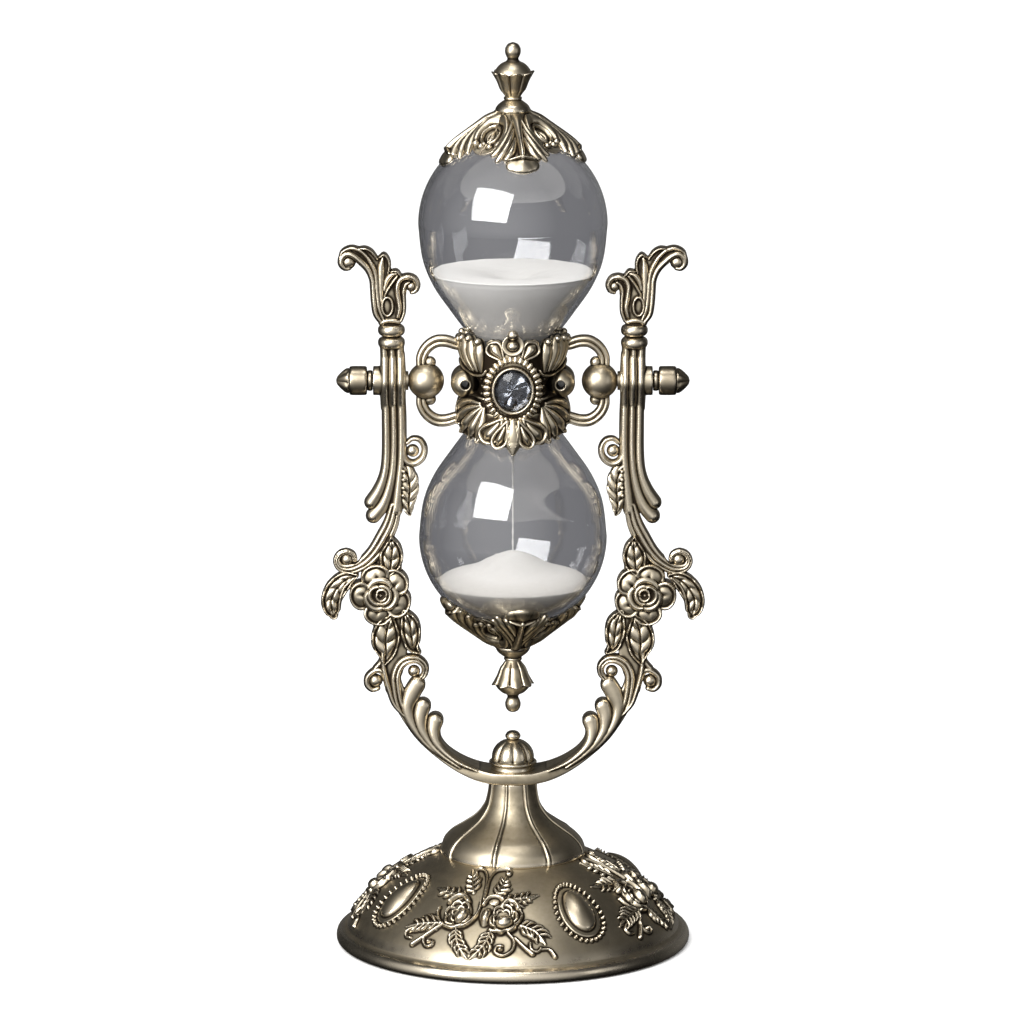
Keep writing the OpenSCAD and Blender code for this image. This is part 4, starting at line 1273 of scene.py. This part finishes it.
def foil_cup():
    """Dark foil behind the stone, pressed into a star of facets."""
    rows = []
    wide, tall = STONE
    k = np.arange(16)
    t = 2 * math.pi * (k + 0.5) / 16
    star = ((1, 18.2, 0), (0.72, 17.3, 0.4), (0.3, 17.6, -0.35), (0.01, 17.9, 0), (0.01, 16.1, 0),
            (1, 16.1, 0))
    for scale, depth, swing in star:
        rows.append(np.stack([wide * scale * np.cos(t), -depth + swing * (-1.0) ** k,
                              tall * scale * np.sin(t)], 1))
    quads = sheet_of(np.array(rows), wrap_rows=True)
    a, b, c, d = quads.faces.T
    return Skin(quads.points,
                np.concatenate([np.stack([a, b, c, c], 1), np.stack([a, c, d, d], 1)])).outward()


def collar_grime(p):
    """Patina lies on the collar's ground; between the setting and the lugs, where the band dips, painted
    shade darkens it further.
    """
    v = p[:, 2] - PIVOT
    above = np.hypot(p[:, 0], p[:, 1]) - np.interp(v, COLLAR_V, COLLAR_R)
    ground = 0.25 * np.exp(-(above / 0.75) ** 4)
    return ground + 0.3 * np.exp(-((np.abs(p[:, 0]) - 11.6) / 1.8) ** 4 - (v / 4.6) ** 4)


def make_collar():
    metal = joined([s.outward() for s in (collar_band(), collar_lugs(), collar_lugs().mirrored(),
                                          collar_setting())])
    stone, foil = cut_stone(), foil_cup()
    for side, turn in (("front", 0), ("back", 180)):
        half, crystal, backing = (part.turned(turn).lifted(PIVOT) for part in (metal, stone, foil))
        casting(f"collar_{side}_casting", half, TURNING, f"collar_{side}", grime=collar_grime)
        piece(f"crystal_{side}", crystal, TURNING, "crystal", CRYSTAL, [f"jewel_{side}"], steps=(),
              smooth=False)
        piece(f"foil_{side}", backing, TURNING, "crystal", FOIL, steps=(), smooth=False)


def make_handles():
    """Two double-ridged C-scrolls that meet in a ball: u is X, v is Z and w is Y."""
    c = Cast((15.5, -17.5, -7), (36, 17.5, 7), 0.2)
    ball, radius = 29.1, 6.1
    for side in (-1, 1):
        c.stroke([(16.6, 12.0 * side, 1.9, 1.6), (19, 12.5 * side, 2.0, 1.8), (22.4, 13.5 * side, 2.1, 1.9),
                  (25.8, 13.3 * side, 2.1, 1.9), (28.8, 11.2 * side, 2.0, 1.9), (30.5, 8 * side, 1.9, 1.9),
                  (30.6, 4.4 * side, 1.7, 1.9)], ridges=2, groove=0.5, crown=0.25, edge=0.6)
        c.ball(27.7, 6.3 * side, 0, 2.0, 0.3)
    c.ball(ball, 0, 0, radius, 0.3)
    U = c.axes[0][:, None, None]
    c.field = np.maximum(c.field, U - float(high("handle_right")[0]))
    skin = c.skin().moved(upright).lifted(PIVOT).outward()
    for side, form in (("right", skin), ("left", skin.mirrored())):
        casting(f"handle_{side}_casting", form, TURNING, f"handle_{side}")


# ---- caps, finials and pivots -----------------------------------------------------------------

CAP_TURN = 8.5
CAP_U = 16.0
CAP = Profile([(4.2, 92.8), (6.0, 90.6), (10, 87.2), (14, 84.0), (17.8, 81.0), (20.4, 78.6), (22.2, 76.2),
               (23.4, 74.0), (24.4, 72.0), (25, 70.8)])


def onto_cap(p):
    """Down the cap's slope, which lies lower midway between its main leaves."""
    u, s, w = p.T
    dip = 1.9 * np.sin(2 * u / CAP_U) ** 2 * np.clip(s / 9, 0, 1)
    r, z = CAP.at(s, w - dip).T
    return np.stack([r * np.sin(u / CAP_U), -r * np.cos(u / CAP_U), z], 1)


def cap_leaves():
    """The cap's leaves, worked out for a quarter of it: u runs round, v down the slope and w out."""
    quarter = math.pi / 2 * CAP_U
    count = round(quarter / 0.21)
    pitch = quarter / count
    c = Cast((-quarter, 0.2, -1.6), (quarter + pitch / 2, 29.6, 4), pitch, back=-0.8)
    c.add(Band((-40, 0.4), (40, 9), 0.1), edge=0.3)

    def strand(turn, points, crown=0.5, edge=0.45):
        for line in both(points):
            c.stroke([(u + turn, *more) for u, *more in line], crown=crown, edge=edge, join=0.08)

    for turn in (-quarter, 0, quarter):
        strand(turn, [(0, 5, 4.4, 0.2), (0, 12, 5.2, 0.3), (0, 18, 6.6, 0.3), (0, 21, 6.4, 0.3),
                      (0, 24, 3.6, 0.3)], 0, 0.3)
        for finger in ([(2.9, 6.4, 0.8, 1.2), (3.9, 9.8, 1.25, 1.5), (5.3, 14.2, 1.4, 1.6),
                        (6.8, 18.0, 1.3, 1.4), (8.1, 20.6, 0.8, 0.9)],
                       [(2.2, 10.4, 0.7, 1.3), (3.1, 13.8, 1.1, 1.7), (4.3, 17.8, 1.25, 1.8),
                        (5.6, 21, 1.1, 1.5), (6.5, 23.2, 0.7, 0.9)],
                       [(1.6, 14.4, 0.55, 1.4), (2.2, 17.6, 0.95, 1.8), (3.0, 20.6, 1.1, 2.0),
                        (4.0, 23.0, 0.8, 1.6)]):
            strand(turn, finger)
        c.stroke([(turn, 2.9, 4.6, 0.6), (turn, 4.4, 3.6, 1.2), (turn, 6.6, 2.5, 1.7), (turn, 10, 1.7, 1.9),
                  (turn, 14, 1.15, 2.1), (turn, 19, 0.8, 2.3), (turn, 23, 0.65, 2.4)], crown=0.35, edge=0.6,
                 join=0.1)
        c.stroke([(turn - 1.7, 25.0, 2.5, 1.3), (turn, 25.4, 2.8, 1.7), (turn + 1.7, 25.0, 2.5, 1.3)],
                 crown=0.2, edge=1.2, join=0.1)
        c.stroke([(turn - 3.0, 23.4, 0.5, 1.9), (turn, 22.7, 0.6, 2.5), (turn + 3.0, 23.4, 0.5, 1.9)],
                 edge=0.4, join=0.1)
    for turn in (-quarter / 2, quarter / 2, quarter * 1.5):
        strand(turn, [(0, 3, 5, 0.1), (0, 8, 7.6, 0.15), (0, 13, 6.8, 0.15), (0, 15.8, 4.6, 0.15)], 0, 0.3)
        strand(turn, [(0, 4.6, 1.7, 1.0), (3.0, 5.0, 1.8, 1.5), (5.7, 6.4, 1.6, 1.7), (6.9, 9.4, 1.35, 1.7),
                      (6.5, 12.8, 1.2, 1.5), (5.0, 15.4, 0.9, 1.2)], 0.4, 0.6)
        strand(turn, [(0, 7.4, 0.6, 1.3), (3.0, 8.5, 0.6, 1.4), (4.3, 11.0, 0.6, 1.4), (3.1, 14.0, 0.6, 1.3),
                      (0.8, 15.4, 0.5, 1.1)])
        strand(turn, [(0, 9.6, 0.4, 0.6), (1.2, 12, 0.6, 0.8), (0, 14.4, 0.4, 0.6)])
        for u, v in ((-4.6, 15.8), (-1.7, 16.4), (1.7, 16.4), (4.6, 15.8)):
            c.ball(turn + u, v, 0.2, 1.1, 0.3)
    keep = slice(round(quarter / 2 / pitch), round(quarter / 2 / pitch) + count)
    c.field = np.concatenate([c.field[keep]] * 4 + [c.field[keep][:1]])
    c.low = np.array([-quarter / 2, c.low[1], c.low[2]])
    return c.skin().moved(onto_cap).outward().turned(CAP_TURN)


def cap_neck():
    """Stepped collar between a cap's leaves and its finial."""
    return lathe(np.concatenate([
        [(0.02, 90.4), (4.4, 90.6)],
        spline([(5.2, 90.4), (5.8, 91.0), (5.75, 91.9), (4.95, 93.1), (3.7, 94.1), (3.0, 94.6)], 0.2),
        spline([(2.75, 94.7), (3.05, 95.1), (3.05, 95.5), (2.7, 95.8)], 0.2),
        [(0.02, 95.9)]]), 96)


def finial():
    cup = spline([(2.5, 95.6), (2.75, 96.1), (3.5, 97.1), (4.45, 98.4), (5.4, 100.8), (6.0, 102.0),
                  (6.6, 103.1), (7.0, 103.8), (6.6, 104.0)], 0.2)
    lid = spline([(6.2, 103.4), (6.0, 104.3), (5.2, 105.6), (3.8, 106.9), (2.5, 107.5), (1.95, 108.1),
                  (1.9, 108.7), (2.35, 109.6), (2.65, 110.8), (2.45, 112.2), (1.6, 113.4), (0.02, 114)], 0.2)
    profile = np.concatenate([[(0.02, 94.5), (2.4, 94.6)], cup, lid])
    fluted_rows = (np.arange(len(profile)) < 2 + len(cup))[:, None]

    def fluted(angle, r, z):
        near = np.abs(lobes(angle, 8, math.radians(10.5)))
        cut = np.clip((z - 95.8) / 1.4, 0, 1) * (0.06 * near ** 2 + 0.13 * np.exp(-((1 - near) / 0.13) ** 2))
        crown = np.clip((z - 101.6) / 2, 0, 1) * fluted_rows
        swell = 0.7 * (1 - near)
        return r * (1 - cut * fluted_rows) + crown * (swell - 0.35), z + crown * (swell - 0.3)

    return lathe(profile, 384, fluted)


def make_caps():
    leaves, urn = joined([cap_leaves(), cap_neck()]), finial()
    for end, flip in (("top", False), ("bottom", True)):
        cap, tip = ((part.mirrored(2) if flip else part).lifted(PIVOT).outward() for part in (leaves, urn))
        # Painted shade: the bottom cap, under the glass, is made darker all over; the top cap gets none.
        casting(f"{end}_cap_casting", cap, TURNING, f"{end}_cap", grime=even_grime(0.12 if flip else 0))
        casting(f"{end}_finial_casting", tip, TURNING, f"{end}_finial")


def make_knobs():
    """Acorn knobs on plain shanks, turned about X."""
    start = low("pivot_screw_right")[0]
    profile = np.concatenate([
        [(0.02, start), (2.0, start + 0.1), (2.0, 46.9)],
        spline([(3.2, 46.95), (3.45, 47.4), (3.45, 48.3), (3.2, 48.75)], 0.2),
        spline([(4.4, 48.85), (4.8, 49.2), (4.9, 50.2), (4.9, 53.4), (4.75, 54.4), (4.3, 54.75)], 0.25),
        spline([(4.1, 54.8), (4.3, 55.3), (3.9, 56.2), (3.1, 57.2), (2.2, 58.1), (1.2, 58.9), (0.02, 59.2)],
               0.2)])

    def faceted(angle, r, z):
        tip = np.clip((z - 54.9) / 0.5, 0, 1)
        return r * (1 - 0.16 * tip * np.abs(lobes(angle, 6)) ** 1.5), z

    skin = lathe(profile, 240, faceted).turned(90, axis=1).lifted(PIVOT).outward()
    piece("knob_right", skin, "right_knob", "dark_bronze", DARK_BRONZE, ["pivot_screw_right"])
    piece("knob_left", skin.mirrored(), "left_knob", "dark_bronze", DARK_BRONZE, ["pivot_screw_left"])


def finish_cad_parts():
    """Materials for the small CAD parts that show as they are."""
    for node, material in (("felt_pad", FELT), ("tie_rod", STEEL), ("tie_washer", STEEL), ("tie_nut", STEEL),
                           ("collar_screws", STEEL), ("collar_nuts", STEEL), ("collar_gaskets", RUBBER),
                           ("pivot_washers", DARK_BRONZE)):
        for slot in bpy.data.objects[node].material_slots:
            slot.material = material


# ---- stage ------------------------------------------------------------------------------------

def make_room(scene):
    """Surroundings: white to the camera, grey through glass, and pale left to dark right in reflections."""
    world = bpy.data.worlds.new("studio")
    scene.world = world
    world.use_nodes = True
    world.cycles.sampling_method = "NONE"
    tree = world.node_tree
    add, link = tree.nodes.new, tree.links.new
    path = add("ShaderNodeLightPath")

    def background(colour):
        node = add("ShaderNodeBackground")
        if isinstance(colour, bpy.types.NodeSocket):
            link(colour, node.inputs["Color"])
        else:
            node.inputs["Color"].default_value = (*colour, 1)
        return node.outputs[0]

    def choose(kind, other, this):
        mix = add("ShaderNodeMixShader")
        link(path.outputs[kind], mix.inputs["Fac"])
        link(other, mix.inputs[1])
        link(this, mix.inputs[2])
        return mix.outputs[0]

    toward = add("ShaderNodeVectorMath")
    toward.operation = "DOT_PRODUCT"
    place_on_sky = add("ShaderNodeTexCoord")
    link(place_on_sky.outputs["Generated"], toward.inputs[0])
    toward.inputs[1].default_value = (-0.36, -0.92, 0.12)
    scale = add("ShaderNodeMapRange")
    link(toward.outputs["Value"], scale.inputs["Value"])
    scale.inputs["From Min"].default_value = -1
    ramp = add("ShaderNodeValToRGB")
    link(scale.outputs[0], ramp.inputs["Fac"])
    marks = ramp.color_ramp.elements
    marks.new(0.5)
    marks.new(0.5)
    for mark, (place, level) in zip(marks, ((0.0, 0.16), (0.2, 0.02), (0.62, 0.055), (1.0, 1.1))):
        mark.position, mark.color = place, (*grey(level), 1)
    height = add("ShaderNodeSeparateXYZ")
    link(place_on_sky.outputs["Generated"], height.inputs[0])
    below = add("ShaderNodeMapRange")
    link(height.outputs["Z"], below.inputs["Value"])
    for socket, value in (("From Min", -0.6), ("From Max", 0.0), ("To Min", 0.15)):
        below.inputs[socket].default_value = value
    gloss = add("ShaderNodeVectorMath")
    gloss.operation = "SCALE"
    link(ramp.outputs["Color"], gloss.inputs[0])
    link(below.outputs[0], gloss.inputs["Scale"])
    sky = choose("Is Transmission Ray", background(gloss.outputs["Vector"]), background((0.2, 0.2, 0.211)))
    up = add("ShaderNodeValToRGB")
    link(height.outputs["Z"], up.inputs["Fac"])
    up.color_ramp.elements[0].color = (*grey(0.05), 1)
    up.color_ramp.elements[1].color = (*grey(1.5), 1)
    up.color_ramp.elements[1].position = 0.7
    sky = choose("Is Diffuse Ray", sky, background(up.outputs["Color"]))
    sky = choose("Is Camera Ray", sky, background(grey(1)))
    link(sky, tree.nodes["World Output"].inputs["Surface"])


def lamp(name, place, size, power, receivers=()):
    """A soft rectangle of light that faces the object, for all things or only for some."""
    light = bpy.data.lights.new(name, "AREA")
    light.shape, light.size, light.size_y, light.energy = "RECTANGLE", *size, power
    obj = bpy.data.objects.new(name, light)
    bpy.context.scene.collection.objects.link(obj)
    obj.location = place
    obj.rotation_euler = (Vector((0, 0, 0.19)) - Vector(place)).to_track_quat("-Z", "Y").to_euler()
    if receivers:
        group = bpy.data.collections.new(name + "_lit")
        for piece_name in receivers:
            group.objects.link(bpy.data.objects[piece_name])
        obj.light_linking.receiver_collection = group


def make_stage():
    scene = bpy.context.scene
    scene.view_settings.view_transform = "Standard"
    make_room(scene)
    mesh = bpy.data.meshes.new("floor")
    reach = 9
    corners = [(-reach, -reach, 0), (reach, -reach, 0), (reach, reach, 0), (-reach, reach, 0)]
    mesh.from_pydata(corners, [], [(0, 1, 2, 3)])
    floor = bpy.data.objects.new("floor", mesh)
    scene.collection.objects.link(floor)
    n = Nodes("floor")
    pale = n.ramp(n.noise(3, 2), [(0.3, grey(0.94)), (0.7, grey(0.96))])
    mesh.materials.append(n.surface(Base_Color=pale, Roughness=0.9))
    floor.visible_transmission = floor.visible_glossy = floor.visible_diffuse = False

    camera = bpy.data.cameras.new("camera")
    eye = bpy.data.objects.new("camera", camera)
    scene.collection.objects.link(eye)
    camera.lens = 230.1
    elevation, distance, aim = math.radians(11.4), 2.2, np.array([-0.0003, 0, 0.1481])
    eye.location = aim + distance * np.array([0, -math.cos(elevation), math.sin(elevation)])
    eye.rotation_euler = (math.radians(90) - elevation, 0, 0)
    scene.camera = eye

    metal_ends = ("casting", "nut", "right", "left")
    metal = [obj.name for obj in scene.objects if obj.name.split("_")[-1] in metal_ends]
    lit = [name for name in metal if name != "bottom_cap_casting"]
    beds = ["sand_upper_bed", "sand_lower_bed"]
    lamp("key", (-0.56, -0.97, 0.88), (1.1, 0.9), 18)
    lamp("strip_left", (-0.85, -0.95, 0.3), (0.3, 0.7), 5, lit)
    lamp("strip_right", (1.0, -0.75, 0.3), (0.2, 0.7), 0.6, lit)
    lamp("fill", (1.1, -0.5, 0.5), (0.25, 0.9), 0.3, lit + beds)
    lamp("sand_side", (-1.0, -1.0, 0.04), (0.5, 0.5), 10, beds[:1])
    lamp("top", (-0.05, -0.2, 1.3), (0.5, 0.35), 3, metal + beds)


make_yoke()
make_base()
make_stem()
make_cap_nut()
make_glass()
make_sand()
make_collar()
make_handles()
make_caps()
make_knobs()
finish_cad_parts()
make_stage()
